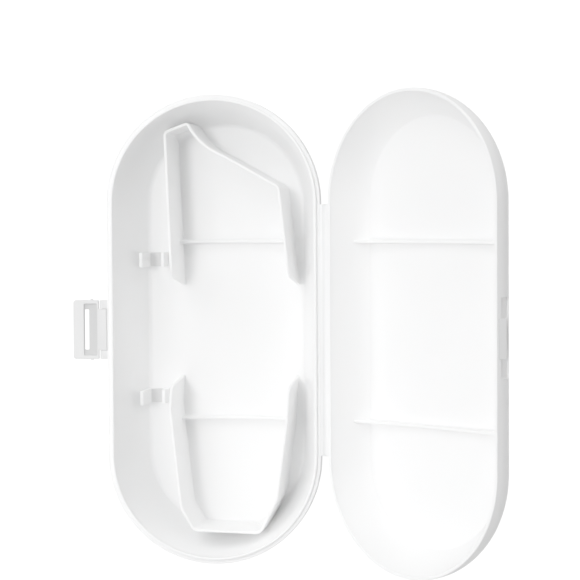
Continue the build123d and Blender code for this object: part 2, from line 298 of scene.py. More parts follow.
def quarter_round(radius: float, steps: int = 4) -> tuple[np.ndarray, np.ndarray]:
    """A rounded edge: how far a face stands back and how far along it is, at even angles.

    With an angle that grows from nothing to a quarter turn, the face stands back by r less r times
    its sine, and lies r less r times its cosine from the end.

    Args:
        radius: The rounding's radius.
        steps: How many steps it has.

    Returns:
        The distance back and the distance along, at each angle.
    """
    angle = np.linspace(0.0, math.pi / 2, steps + 1)
    return radius * (1 - np.sin(angle)), radius * (1 - np.cos(angle))


def full_turn(count: int) -> np.ndarray:
    """Evenly spaced angles round a full turn, with the last one short of the first."""
    return np.linspace(0.0, 2 * math.pi, count, endpoint=False)


def place_in_scene(name: str, data: bpy.types.ID) -> bpy.types.Object:
    """Makes an object and links it to the scene.

    Args:
        name: The object's name.
        data: Its mesh, light or camera.

    Returns:
        The object, at the origin.
    """
    item = bpy.data.objects.new(name, data)
    bpy.context.scene.collection.objects.link(item)
    return item


class SurfaceMesh:
    """Gathers grids of points, in millimetres, into the closed mesh of one piece."""

    def __init__(self) -> None:
        """Starts with no surface."""
        self.points: list[np.ndarray] = []
        self.faces: list[list[int]] = []
        self.count = 0

    def _take(self, grid: np.ndarray) -> np.ndarray:
        """Keeps a grid's points.

        Args:
            grid: Points in rows and columns.

        Returns:
            Their numbers, in the same layout.
        """
        rows, columns = grid.shape[:2]
        numbers = np.arange(rows * columns).reshape(rows, columns) + self.count
        self.points.append(grid.reshape(-1, 3))
        self.count += rows * columns
        return numbers

    def _quads(self, numbers: np.ndarray) -> None:
        """Adds a four-sided face for each cell of an array of point numbers."""
        cells = [numbers[:-1, :-1], numbers[1:, :-1], numbers[1:, 1:], numbers[:-1, 1:]]
        self.faces += np.stack(cells, axis=-1).reshape(-1, 4).tolist()

    def add_grid(
        self, grid: np.ndarray, wrap_rows: bool = False, wrap_columns: bool = False
    ) -> None:
        """Adds a surface over two parameters.

        Args:
            grid: Points in rows and columns.
            wrap_rows: Whether the last row joins the first.
            wrap_columns: Whether the last column joins the first.
        """
        numbers = self._take(grid)
        if wrap_rows:
            numbers = np.vstack([numbers, numbers[:1]])
        if wrap_columns:
            numbers = np.hstack([numbers, numbers[:, :1]])
        self._quads(numbers)

    def add_bar(self, grid: np.ndarray) -> None:
        """Adds a surface whose rows are closed outlines, with its first and last row filled in.

        Args:
            grid: Points in rows and columns.
        """
        numbers = self._take(grid)
        self._quads(np.hstack([numbers, numbers[:, :1]]))
        self.faces += [numbers[0, ::-1].tolist(), numbers[-1].tolist()]

    def add_plate(self, front: np.ndarray, back: np.ndarray) -> None:
        """Adds a thin plate from its two faces, with strips that close its four edges.

        Args:
            front: Points of one face in rows and columns.
            back: The points opposite them on the other face.
        """
        near, far = self._take(front), self._take(back)
        self._quads(near)
        self._quads(far[:, ::-1])
        for one, other in ((near, far), (near[::-1], far[::-1])):
            self._quads(np.stack([one[0], other[0]]))
        for one, other in ((near, far), (near[:, ::-1], far[:, ::-1])):
            self._quads(np.stack([one[:, 0], other[:, 0]]))

    def make(self, name: str, crease: float = 40.0) -> bpy.types.Object:
        """Makes the piece, with doubled points merged and every face pointing outwards.

        Args:
            name: The piece's name.
            crease: Angle in degrees past which an edge is shaded as sharp.

        Returns:
            The new object, at the origin.
        """
        mesh = bpy.data.meshes.new(name)
        mesh.from_pydata(np.concatenate(self.points) * METRES, [], self.faces)
        work = bmesh.new()
        work.from_mesh(mesh)
        bmesh.ops.remove_doubles(work, verts=work.verts, dist=WELD)
        bmesh.ops.recalc_face_normals(work, faces=work.faces)
        work.to_mesh(mesh)
        work.free()
        mesh.shade_smooth()
        mesh.set_sharp_from_angle(angle=math.radians(crease))
        return place_in_scene(name, mesh)


@dataclass(frozen=True)
class StadiumPath:
    """The round-ended line that the shells and their rims follow.

    A point at radius r is the path's own centre there, on the middle line of the case, plus r
    times an outward direction. The direction is plus x along the right side, turns through half a
    circle round the upper end, is minus x along the left side, and turns back round the lower end.
    """

    half_straight: float = SIZES.half_straight
    arc_steps: int = 56
    spacing: float = 4.5
    extra: tuple[float, ...] = ()  # more places along the straight sides, such as a pocket's ends
    least_apart: float = 0.6  # an even place this close to an extra one is left out

    def places(self) -> tuple[np.ndarray, np.ndarray]:
        """The places on the path, in order round the case.

        Returns:
            The centre of each along the case, and its outward angle.
        """
        steps = math.ceil(2 * self.half_straight / self.spacing)
        even = np.linspace(-self.half_straight, self.half_straight, steps + 1)
        extra = np.asarray(self.extra, float)
        if len(extra):
            apart = np.abs(even[:, None] - extra[None]).min(axis=1)
            even = even[(apart > self.least_apart) | (np.abs(even) >= self.half_straight)]
        side = np.unique(np.concatenate([even, extra]))
        arc = np.linspace(0.0, math.pi, self.arc_steps + 1)[1:-1]
        upper = np.full(len(arc), self.half_straight)
        along = np.concatenate([side, upper, side[::-1], -upper])
        turn = np.concatenate([0 * side, arc, 0 * side + math.pi, arc + math.pi])
        return along, turn

    def carry(self, radius: np.ndarray, height: np.ndarray) -> np.ndarray:
        """Points at given radii and heights, one row for each place on the path.

        Args:
            radius: One row of radii for all places, or a row for each.
            height: Heights laid out in the same way.

        Returns:
            Points in rows along the path and columns along the profile.
        """
        along, turn = self.places()
        size = (len(along), np.shape(radius)[-1])
        out = np.broadcast_to(radius, size)
        x = np.cos(turn)[:, None] * out
        y = along[:, None] + np.sin(turn)[:, None] * out
        return np.stack([x, y, np.broadcast_to(height, size)], axis=-1)


# Finishes


@dataclass(frozen=True)
class MouldedWhite:
    """White polypropylene as it comes out of a mould.

    A fine spark-eroded grain breaks up the gloss, a slow wave bends reflections as a thin moulding
    does where it has shrunk, and faint clouds change its brightness and gloss.
    """

    name: str
    colour: tuple[float, float, float] = (0.962, 0.965, 0.965)
    cloud_colour: tuple[float, float, float] = (0.937, 0.94, 0.941)
    clouds_per_metre: float = 22.0
    cloud_fade: tuple[float, float] = (0.32, 0.62)  # from the cloud's colour to the main one
    roughness: float = 0.42
    roughness_spread: float = 0.07
    rubs_per_metre: float = 140.0
    rub_fade: tuple[float, float] = (0.3, 0.7)  # from the glossiest to the dullest
    grain_per_metre: float = 2600.0
    grain_depth: float = 0.000012
    grain_strength: float = 0.6
    wave_per_metre: float = 16.0
    wave_depth: float = 0.0004
    wave_strength: float = 0.5
    refraction: float = 1.49
    glow: float = 0.12  # share of light that scatters under the surface
    glow_reach: tuple[float, float, float] = (0.0022, 0.0020, 0.0018)

    def build(self) -> bpy.types.Material:
        """Makes the material's nodes.

        Returns:
            The material.
        """
        material = bpy.data.materials.new(self.name)
        material.use_nodes = True
        nodes = material.node_tree.nodes
        links = material.node_tree.links
        shader = nodes["Principled BSDF"]
        shader.inputs["IOR"].default_value = self.refraction
        shader.inputs["Subsurface Weight"].default_value = self.glow
        shader.inputs["Subsurface Radius"].default_value = self.glow_reach
        shader.inputs["Subsurface Scale"].default_value = 1.0
        place = nodes.new("ShaderNodeTexCoord").outputs["Object"]

        def noise(per_metre: float, detail: float, roughness: float = 0.5) -> bpy.types.NodeSocket:
            """Adds a noise that is fixed to the piece.

            Args:
                per_metre: How many of its cells a metre holds.
                detail: How many finer layers it has.
                roughness: How strong each finer layer is.

            Returns:
                Its value.
            """
            node = nodes.new("ShaderNodeTexNoise")
            node.inputs["Scale"].default_value = per_metre
            node.inputs["Detail"].default_value = detail
            node.inputs["Roughness"].default_value = roughness
            links.new(place, node.inputs["Vector"])
            return node.outputs["Fac"]

        def bump(height: bpy.types.NodeSocket, strength: float, depth: float) -> bpy.types.Node:
            """Adds a bump.

            Args:
                height: The value that raises the surface.
                strength: Its strength.
                depth: How deep it is, in metres.

            Returns:
                The bump's node.
            """
            node = nodes.new("ShaderNodeBump")
            node.inputs["Strength"].default_value = strength
            node.inputs["Distance"].default_value = depth
            links.new(height, node.inputs["Height"])
            return node

        tint = nodes.new("ShaderNodeValToRGB")
        colours = (self.cloud_colour, self.colour)
        for stop, position, colour in zip(tint.color_ramp.elements, self.cloud_fade, colours):
            stop.position = position
            stop.color = (*colour, 1.0)
        links.new(noise(self.clouds_per_metre, detail=4.0), tint.inputs["Fac"])
        links.new(tint.outputs["Color"], shader.inputs["Base Color"])

        gloss = nodes.new("ShaderNodeMapRange")
        gloss.inputs["From Min"].default_value = self.rub_fade[0]
        gloss.inputs["From Max"].default_value = self.rub_fade[1]
        gloss.inputs["To Min"].default_value = self.roughness - self.roughness_spread
        gloss.inputs["To Max"].default_value = self.roughness + self.roughness_spread
        links.new(noise(self.rubs_per_metre, detail=6.0, roughness=0.6), gloss.inputs["Value"])
        links.new(gloss.outputs["Result"], shader.inputs["Roughness"])

        wave = noise(self.wave_per_metre, detail=1.0)
        slow = bump(wave, self.wave_strength, self.wave_depth)
        grain = noise(self.grain_per_metre, detail=2.0)
        fine = bump(grain, self.grain_strength, self.grain_depth)
        links.new(slow.outputs["Normal"], fine.inputs["Normal"])
        links.new(fine.outputs["Normal"], shader.inputs["Normal"])
        return material


FINISHES = {
    Finish.CASE: MouldedWhite("case_polypropylene"),
    Finish.WEB: MouldedWhite("web_polypropylene", roughness=0.34, wave_depth=0.0002, glow=0.25),
    # A darker grey than the case's white. The tip clips' seats also carry it as painted shade.
    Finish.LATCH: MouldedWhite(
        "latch_polypropylene",
        colour=(0.671, 0.673, 0.674),
        cloud_colour=(0.645, 0.647, 0.648),
        roughness=0.38,
        wave_depth=0.0002,
    ),
}
# Painted shade: a darker grey on the floor of the latch flap's recess, where shade falls.
RECESS_PAINTED_SHADE = MouldedWhite(
    "recess_painted_shade_polypropylene",
    colour=(0.48, 0.482, 0.483),
    cloud_colour=(0.455, 0.457, 0.458),
    roughness=0.6,
    grain_depth=0.00003,
    wave_depth=0.0002,
)


@dataclass
class Wardrobe:
    """Keeps the made materials and puts pieces in their place on the moving bodies."""

    made: dict[Finish, bpy.types.Material] = field(default_factory=dict)

    def material(self, finish: Finish) -> bpy.types.Material:
        """The material of a finish, made the first time that it is asked for.

        Args:
            finish: The finish.

        Returns:
            Its material.
        """
        if finish not in self.made:
            self.made[finish] = FINISHES[finish].build()
        return self.made[finish]

    def dress(self, piece: bpy.types.Object, body: Body, finish: Finish, *nodes: str) -> None:
        """Gives a piece its finish, its body and the CAD nodes that it stands for.

        Args:
            piece: The piece.
            body: The body that it moves with.
            finish: Its finish.
            nodes: The CAD nodes that it replaces.
        """
        self.finish_only(piece, finish, *nodes)
        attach(piece, body.value)
        LOG.info("%s rides on %s", piece.name, body.value)

    def finish_only(self, piece: bpy.types.Object, finish: Finish, *nodes: str) -> None:
        """Gives a piece its finish and the CAD nodes that it stands for, and no body.

        Args:
            piece: The piece.
            finish: Its finish.
            nodes: The CAD nodes that it replaces.
        """
        piece.data.materials.clear()
        piece.data.materials.append(self.material(finish))
        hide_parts(*nodes)
        LOG.info("%s has %d faces", piece.name, len(piece.data.polygons))

    def painted_recess_shade(self) -> bpy.types.Material:
        """The painted shade's material, made the first time that it is asked for."""
        return bpy.data.materials.get(RECESS_PAINTED_SHADE.name) or RECESS_PAINTED_SHADE.build()

    def paint_shade_on_sunk_faces(
        self, piece: bpy.types.Object, low: float, high: float, painted_shade_material: bpy.types.Material
    ) -> None:
        """Paints shade on a piece's upward faces between two heights, with a second material.

        Args:
            piece: The piece, with its main finish already on it.
            low: The lower height.
            high: The upper height.
            painted_shade_material: The darker material that stands for the shade.
        """
        faces = piece.data.polygons
        centre, normal = np.empty(3 * len(faces)), np.empty(3 * len(faces))
        faces.foreach_get("center", centre)
        faces.foreach_get("normal", normal)
        height = centre[2::3] / METRES
        sunk = (normal[2::3] > 0.5) & (height > low) & (height < high)
        piece.data.materials.append(painted_shade_material)
        faces.foreach_set("material_index", sunk.astype(np.int32))
        LOG.info("%s has %d shade_painted faces", piece.name, sunk.sum())


# Base


@dataclass
class BaseMoulding:
    """The deep shell with its thick lip, and the tongue that stands on its rim."""

    wardrobe: Wardrobe
    bottom_round: float = 4.0
    wall: float = 2.2
    lip_height: float = 6.5
    rim_edge: float = 0.45
    tongue_height: float = 1.0
    tongue_edge: float = 0.4
    groove_width: float = 1.3  # outside the tongue, on the hinge's side
    groove_depth: float = 1.5
    groove_start: float = 44.0  # across the case, where the groove starts to sink
    groove_run_out: float = 18.0
    groove_trace: float = 0.02  # share of its depth that is left on the latch's side
    groove_under_tongue: float = 0.05
    groove_foot_round: float = 0.3
    groove_edge: float = 0.2
    mouth_round: float = 1.2
    lip_edge: float = 0.6
    under_lip_round: float = 0.5
    tongue_foot: float = 0.1  # how far the tongue runs on below the rim
    spacing: float = 3.0

    @property
    def groove_radius(self) -> float:
        """Where the groove begins, just inside the tongue's outer face."""
        return SIZES.mouth_radius + SIZES.tongue_thickness - self.groove_under_tongue

    def inside_line(self) -> np.ndarray:
        """The inside of the half section, from the middle of the floor to the rim.

        Returns:
            Radius and height of its points.
        """
        corners = [
            (0.0, SIZES.floor_level),
            (SIZES.base_floor_radius, SIZES.floor_level),
            (SIZES.mouth_radius, SIZES.parting_level - SIZES.base_mouth_height),
            (SIZES.mouth_radius, SIZES.base_rim_level),
        ]
        rounds = [0.0, SIZES.base_foot_round, self.mouth_round, 0.0]
        return rounded_outline(corners, rounds, self.spacing, closed=False)

    def outside_line(self) -> np.ndarray:
        """The rest of the half section, over the groove, round the lip and under the floor.

        Returns:
            Radius and height of its points.
        """
        run = SIZES.mouth_radius - SIZES.base_floor_radius
        rise = SIZES.base_depth - SIZES.base_mouth_height
        slope = run / rise
        inner_foot = SIZES.base_floor_radius - slope * SIZES.floor_level
        foot = inner_foot + self.wall * math.hypot(1.0, slope)
        lip = SIZES.base_rim_level - self.lip_height
        groove = self.groove_radius
        groove_floor = SIZES.base_rim_level - self.groove_depth
        corners = [
            (SIZES.mouth_radius, SIZES.base_rim_level),
            (groove, SIZES.base_rim_level),
            (groove, groove_floor),
            (groove + self.groove_width, groove_floor),
            (groove + self.groove_width, SIZES.base_rim_level),
            (SIZES.rim_radius, SIZES.base_rim_level),
            (SIZES.rim_radius, lip),
            (foot + slope * lip, lip),
            (foot, 0.0),
            (0.0, 0.0),
        ]
        rounds = [0.0, 0.0, self.groove_foot_round, self.groove_foot_round, self.groove_edge]
        rounds += [self.rim_edge, self.lip_edge, self.under_lip_round, self.bottom_round, 0.0]
        return rounded_outline(corners, rounds, self.spacing, closed=False)

    def run_out_groove(self, grid: np.ndarray, profile: np.ndarray) -> None:
        """Lets the groove rise to the rim's level on the latch's side.

        A point's depth below the rim is multiplied by a share that falls from one, beside the
        hinge, to the trace, in a straight line across the case.

        Args:
            grid: The shell's points, with rows round the case, changed in place.
            profile: Radius and height of the points of each row.
        """
        rim = SIZES.base_rim_level
        across = profile[:, 0] - self.groove_radius
        in_width = (across > -NEAR) & (across < self.groove_width + NEAR)
        sunk = in_width & (profile[:, 1] > rim - self.groove_depth - NEAR)
        fall = (grid[:, sunk, 0] - self.groove_start) / self.groove_run_out
        share = np.clip(fall, self.groove_trace, 1.0)
        grid[:, sunk, 2] = rim - (rim - grid[:, sunk, 2]) * share

    def make(self) -> None:
        """Makes the shell and the tongue.

        The shell is its half section, from the middle of the floor over the rim and back under
        the floor, carried along the stadium path. The tongue is a closed outline carried likewise.
        """
        path = StadiumPath()
        profile = np.concatenate([self.inside_line(), self.outside_line()[1:]])
        grid = path.carry(profile[:, 0], profile[:, 1])
        self.run_out_groove(grid, profile)
        shell = SurfaceMesh()
        shell.add_grid(grid, wrap_rows=True)
        piece = shell.make("base_moulding")
        self.wardrobe.dress(piece, Body.BASE, Finish.CASE, "base_shell")

        foot = SIZES.base_rim_level - self.tongue_foot
        top = SIZES.base_rim_level + self.tongue_height
        inner, outer = SIZES.mouth_radius, SIZES.mouth_radius + SIZES.tongue_thickness
        corners = [(inner, foot), (outer, foot), (outer, top), (inner, top)]
        edge = rounded_outline(corners, [0.0, 0.0, self.tongue_edge, self.tongue_edge])
        tongue = SurfaceMesh()
        tongue.add_grid(path.carry(edge[:, 0], edge[:, 1]), wrap_rows=True, wrap_columns=True)
        piece = tongue.make("base_tongue")
        self.wardrobe.dress(piece, Body.BASE, Finish.CASE, "base_rim_tongue")

    def floor_under(self, x: np.ndarray, y: np.ndarray) -> np.ndarray:
        """Height of the inside surface at places across and along the case.

        The radius there is the distance from the middle line, whose ends are the centres of the
        round ends, and the height is read off the inside line at that radius.

        Args:
            x: Places across the case.
            y: Places along it.

        Returns:
            The height at each.
        """
        beyond = np.clip(np.abs(y) - SIZES.half_straight, 0.0, None)
        line = self.inside_line()
        return np.interp(np.hypot(x, beyond), line[:, 0], line[:, 1])


@dataclass
class CradleWall:
    """A thin upright wall that follows the flosser's outline, with leaning ends at its mouth."""

    wardrobe: Wardrobe
    base: BaseMoulding
    name: str
    node: str
    path: np.ndarray  # middle of the wall in plan, from one foot to the other
    mouth_y: float
    lean: float
    end_round: float
    inwards: int  # 1 where the cradle runs up the case from its mouth and -1 where it runs down
    thickness: float = 1.5
    height: float = 34.0
    edge: float = 0.6
    flare: float = 0.6
    end_zone: float = 20.0
    foot_rows: tuple[float, ...] = (0.0, 0.08, 0.2, 0.38, 0.6)
    low_rows: tuple[float, float, int] = (1.6, 24.0, 10)  # first, last and how many
    high_rows: tuple[float, float, int] = (26.0, 33.0, 9)
    top_rows: tuple[float, ...] = (0.6, 0.38, 0.2, 0.09, 0.03, 0.0)  # below the top
    end_columns: tuple[float, ...] = (0.0, 0.05, 0.15, 0.32, 0.55, 0.85, 1.4, 2.4, 4.0)

    @property
    def distances(self) -> np.ndarray:
        """Distance along the path of each of its points."""
        steps = np.linalg.norm(np.diff(self.path, axis=0), axis=1)
        return np.concatenate([[0.0], np.cumsum(steps)])

    def normals(self) -> np.ndarray:
        """Sideways direction at each point of the path: its neighbours' mean run, turned.

        Returns:
            Unit vectors in plan, one row each.
        """
        runs = np.gradient(self.path, self.distances, axis=0)
        across = np.stack([-runs[:, 1], runs[:, 0]], axis=1)
        return across / np.linalg.norm(across, axis=1, keepdims=True)

    def end_line(self, above: np.ndarray) -> np.ndarray:
        """How far in from the mouth the wall's end stands at each height.

        The lean is the height's share of the full lean. Within the end's radius r of the top, the
        end draws back by r less the root of r squared less (r less the distance down) squared.

        Args:
            above: Heights above the floor.

        Returns:
            The distance in at each.
        """
        lean = self.lean / self.height
        short = self.end_round - np.clip(self.height - above, 0.0, self.end_round)
        back = self.end_round - np.sqrt(self.end_round**2 - short**2)
        return lean * above + back * math.hypot(1.0, lean)

    def from_free_edge(self, inwards: np.ndarray, above: np.ndarray) -> np.ndarray:
        """Distance of points of the wall's side view from its leaning end or its top.

        Args:
            inwards: How far in from the mouth they are.
            above: How high above the floor.

        Returns:
            The shorter distance, or that from the rounded corner between the two.
        """
        lean = self.lean / self.height
        side = (inwards - lean * above) / math.hypot(1.0, lean)
        down = self.height - above
        short_side = np.clip(self.end_round - side, 0.0, None)
        short_down = np.clip(self.end_round - down, 0.0, None)
        corner = self.end_round - np.hypot(short_side, short_down)
        both = (short_side > 0) & (short_down > 0)
        return np.clip(np.where(both, corner, np.minimum(side, down)), 0.0, None)

    def make(self) -> None:
        """Makes the wall.

        Its middle sheet is a function of distance along the path and height. Near its ends the
        distance is squeezed so that the sheet stops at the leaning end line. Each face stands half
        a thickness off the sheet, less near a free edge and more at the foot.
        """
        total = self.distances[-1]
        fine = np.array(self.end_columns)
        along = np.unique(np.round(np.concatenate([self.distances, fine, total - fine]), 4))
        low, high = np.linspace(*self.low_rows), np.linspace(*self.high_rows)
        top_rows = self.height - np.array(self.top_rows)
        rows = np.concatenate([[-SIZES.sunk], self.foot_rows, low, high, top_rows])
        distance, above = np.meshgrid(along, rows, indexing="ij")

        def drawn_back(place: np.ndarray, limit: np.ndarray) -> np.ndarray:
            """Moves places within the end zone so that the first of them stands at the limit."""
            share = np.clip(place / self.end_zone, 0.0, 1.0)
            return np.where(place < self.end_zone, limit + share * (self.end_zone - limit), place)

        limit = self.end_line(np.clip(above, 0.0, self.height))
        distance = drawn_back(distance, limit)
        distance = total - drawn_back(total - distance, limit)

        def along_path(values: np.ndarray) -> np.ndarray:
            """Reads a value given at the path's points off at the grid's distances."""
            return np.interp(distance, self.distances, values)

        x, y = along_path(self.path[:, 0]), along_path(self.path[:, 1])
        normals = self.normals()
        across = np.stack([along_path(normals[:, 0]), along_path(normals[:, 1])])
        floor = self.base.floor_under(x, y)
        top = SIZES.floor_level + self.height
        share = np.clip(above, 0.0, None) / self.height
        z = floor + share * (top - floor) + np.minimum(above, 0.0)
        inwards = self.inwards * (y - self.mouth_y)
        free = self.from_free_edge(inwards, np.clip(above, 0.0, self.height))
        half = edge_thickness(self.thickness / 2, self.edge, free)
        half = half + foot_flare(self.flare, np.clip(z - floor, 0.0, None)) * (free > 0)
        front = np.stack([x + across[0] * half, y + across[1] * half, z], axis=-1)
        back = np.stack([x - across[0] * half, y - across[1] * half, z], axis=-1)
        wall = SurfaceMesh()
        wall.add_plate(front, back)
        piece = wall.make(self.name)
        self.wardrobe.dress(piece, Body.BASE, Finish.CASE, self.node)

    def sides_at(self, y: float) -> tuple[float, float]:
        """Where the wall's left and right side cross a line across the case.

        Args:
            y: Where that line is along the case.

        Returns:
            The two places across the case.
        """
        across, along = self.path[:, 0], self.inwards * self.path[:, 1]
        turn = int(np.argmax(along))
        left = np.interp(self.inwards * y, along[:turn], across[:turn])
        right = np.interp(self.inwards * y, along[:turn:-1], across[:turn:-1])
        return float(left), float(right)


def upper_cradle_path() -> np.ndarray:
    """Plan of the upper cradle: left wall, short top, hollow shoulder, slant and right wall.

    The shoulder is the arc through three points, and the rest are straight runs with small arcs
    at their corners.

    Returns:
        Its points, one row each.
    """
    end = SIZES.half_straight
    left_foot, corner, peak = (-23.8, UPPER_MOUTH), (-27.2, end + 38.1), (-14.7, end + 42.8)
    hollow, slant = (-8.8, end + 34.0), (3.5, end + 25.6)
    right_corner, right_foot = (34.2, end + 8.3), (40.2, UPPER_MOUTH)
    first = rounded_outline([left_foot, corner, peak], [0.0, 1.3, 0.0], PLAN_SPACING, closed=False)
    shoulder = circle_through(peak, hollow, slant, steps=18)
    last = rounded_outline(
        [slant, right_corner, right_foot], [0.0, 1.6, 0.0], PLAN_SPACING, closed=False
    )
    return softened_line(np.concatenate([first[:-1], shoulder, last[1:]]))


def lower_cradle_path() -> np.ndarray:
    """Plan of the lower cradle: a tapering U with an arc at each bend.

    Returns:
        Its points, one row each.
    """
    end = -SIZES.half_straight
    corners = [
        (-24.4, LOWER_MOUTH),
        (-25.2, end + 24.0),
        (-19.4, end - 29.5),
        (-12.5, end - 41.0),
        (23.3, end - 41.9),
        (32.4, end - 24.0),
        (37.9, end + 16.0),
        (39.4, LOWER_MOUTH),
    ]
    rounds = [0.0, 20.0, 12.0, 4.0, 4.0, 12.0, 20.0, 0.0]
    return rounded_outline(corners, rounds, PLAN_SPACING, closed=False, arc_steps=10)


def circle_through(
    first: tuple[float, float], middle: tuple[float, float], last: tuple[float, float], steps: int
) -> np.ndarray:
    """Points of the arc through three points.

    Its centre is as far from all three, which two linear equations give, and its points are the
    centre plus the radius times the cosine and sine of an evenly growing angle.

    Args:
        first: Where it starts.
        middle: A point that it passes.
        last: Where it ends.
        steps: How many steps it has.

    Returns:
        Its points, one row each.
    """
    a, b, c = (np.asarray(p, float) for p in (first, middle, last))
    sides = 2 * np.stack([b - a, c - a])
    centre = np.linalg.solve(sides, [b @ b - a @ a, c @ c - a @ a])
    angles = [math.atan2(*(p - centre)[::-1]) for p in (a, b, c)]
    start, through, stop = np.unwrap(angles)
    radius = np.linalg.norm(a - centre)
    angle = np.linspace(start, stop, steps + 1)
    return centre + radius * np.stack([np.cos(angle), np.sin(angle)], axis=1)


def softened_line(line: np.ndarray, spacing: float = 0.7, reach: int = 2) -> np.ndarray:
    """The same line with points evenly apart, each the mean of its neighbours within reach.

    Args:
        line: The line's points.
        spacing: The most that the new points may be apart.
        reach: How many neighbours count on each side.

    Returns:
        The new points, one row each.
    """
    steps = np.linalg.norm(np.diff(line, axis=0), axis=1)
    distance = np.concatenate([[0.0], np.cumsum(steps)])
    even = np.linspace(0.0, distance[-1], math.ceil(distance[-1] / spacing) + 1)
    points = np.stack([np.interp(even, distance, line[:, axis]) for axis in (0, 1)], axis=1)
    window = np.ones(2 * reach + 1) / (2 * reach + 1)
    smooth = points.copy()
    for axis in (0, 1):
        smooth[reach:-reach, axis] = np.convolve(points[:, axis], window, mode="valid")
    return smooth


@dataclass
class SaddleRib:
    """A low rib across the floor inside a cradle, hollow along its top."""

    wardrobe: Wardrobe
    base: BaseMoulding
    name: str
    node: str
    y: float
    left: float
    right: float
    thickness: float = 1.6
    end_height: float = 9.5
    middle_height: float = 4.0
    body_height: float = 2.0  # over which rows are evenly spread above the foot
    columns: int = 41
    edge: float = 0.5
    flare: float = 0.5

    def make(self) -> None:
        """Makes the rib.

        Its faces are functions of the place across the case and of the height. Its top is an arc
        through both ends and the middle.
        """
        across = np.linspace(self.left, self.right, self.columns)
        middle, half_span = (self.left + self.right) / 2, (self.right - self.left) / 2
        height = arc_through(self.end_height, self.middle_height, half_span, across - middle)
        foot = RIB_FOOT_ROWS[-1]
        rows = np.append(RIB_FOOT_ROWS, np.linspace(foot, foot + self.body_height, 4)[1:-1])
        front, back = ribbed_sheet(
            across, height, rows, RIB_TOP_ROWS[:-1], self.thickness, self.edge, self.flare
        )
        for face in (front, back):
            face[..., 1] += self.y
            face[..., 2] += SIZES.floor_level
        rib = SurfaceMesh()
        rib.add_plate(front, back)
        piece = rib.make(self.name)
        self.wardrobe.dress(piece, Body.BASE, Finish.CASE, self.node)


def ribbed_sheet(
    across: np.ndarray,
    height: np.ndarray,
    low_rows: np.ndarray,
    down_rows: np.ndarray,
    thickness: float,
    edge: float,
    flare: float,
) -> tuple[np.ndarray, np.ndarray]:
    """Both faces of a rib that stands on z = 0 along x, centred on y = 0.

    Rows near the foot stand at given heights and rows near the top at given distances below it.
    Each face is half a thickness from the middle, less near the top edge and more at the foot.

    Args:
        across: Places along the rib.
        height: Its height at each.
        low_rows: Heights of the rows near its foot.
        down_rows: Distances below the top of the rows near its top.
        thickness: Its thickness.
        edge: Radius of the top edge.
        flare: Radius where the foot spreads out.

    Returns:
        Two arrays of points, in columns along the rib and rows up it.
    """
    top = height[:, None]
    low = np.broadcast_to(low_rows, (len(across), len(low_rows)))
    high = top - down_rows[::-1]
    above = np.concatenate([np.full_like(top, -SIZES.sunk), low, high], axis=1)
    above = np.maximum.accumulate(above, axis=1)
    half = edge_thickness(thickness / 2, edge, top - above)
    half = half + foot_flare(flare, np.clip(above, 0.0, None))
    x = np.broadcast_to(across[:, None], above.shape)
    faces = [np.stack([x, side * half, above], axis=-1) for side in (1, -1)]
    return faces[0], faces[1]


def rounded_bar(outline: np.ndarray, start: float, end: float, edge: float) -> np.ndarray:
    """A closed outline in x and z drawn along y, with its two end edges rounded.

    Near each end the outline shrinks along its own normals by r less r times the sine of an angle
    that grows from nothing to a quarter turn, while y moves in by r less r times its cosine.

    Args:
        outline: The outline's points in order.
        start: Where it starts along y.
        end: Where it ends.
        edge: The rounding's radius.

    Returns:
        Points in rows along y and columns round the outline.
    """
    before, after = np.roll(outline, 1, axis=0), np.roll(outline, -1, axis=0)
    run = after - before
    normal = np.stack([run[:, 1], -run[:, 0]], axis=1)
    normal = normal / np.linalg.norm(normal, axis=1, keepdims=True)
    x, z = outline.T
    doubled_area = float(np.sum(x * np.roll(z, -1) - np.roll(x, -1) * z))
    if doubled_area < 0:
        normal = -normal
    shrink, inset = quarter_round(edge)
    y = np.concatenate([start + inset, (end - inset)[::-1]])
    shrink = np.concatenate([shrink, shrink[::-1]])
    flat = outline[None] - shrink[:, None, None] * normal[None]
    along = np.broadcast_to(y[:, None], flat.shape[:2])
    return np.stack([flat[..., 0], along, flat[..., 1]], axis=-1)


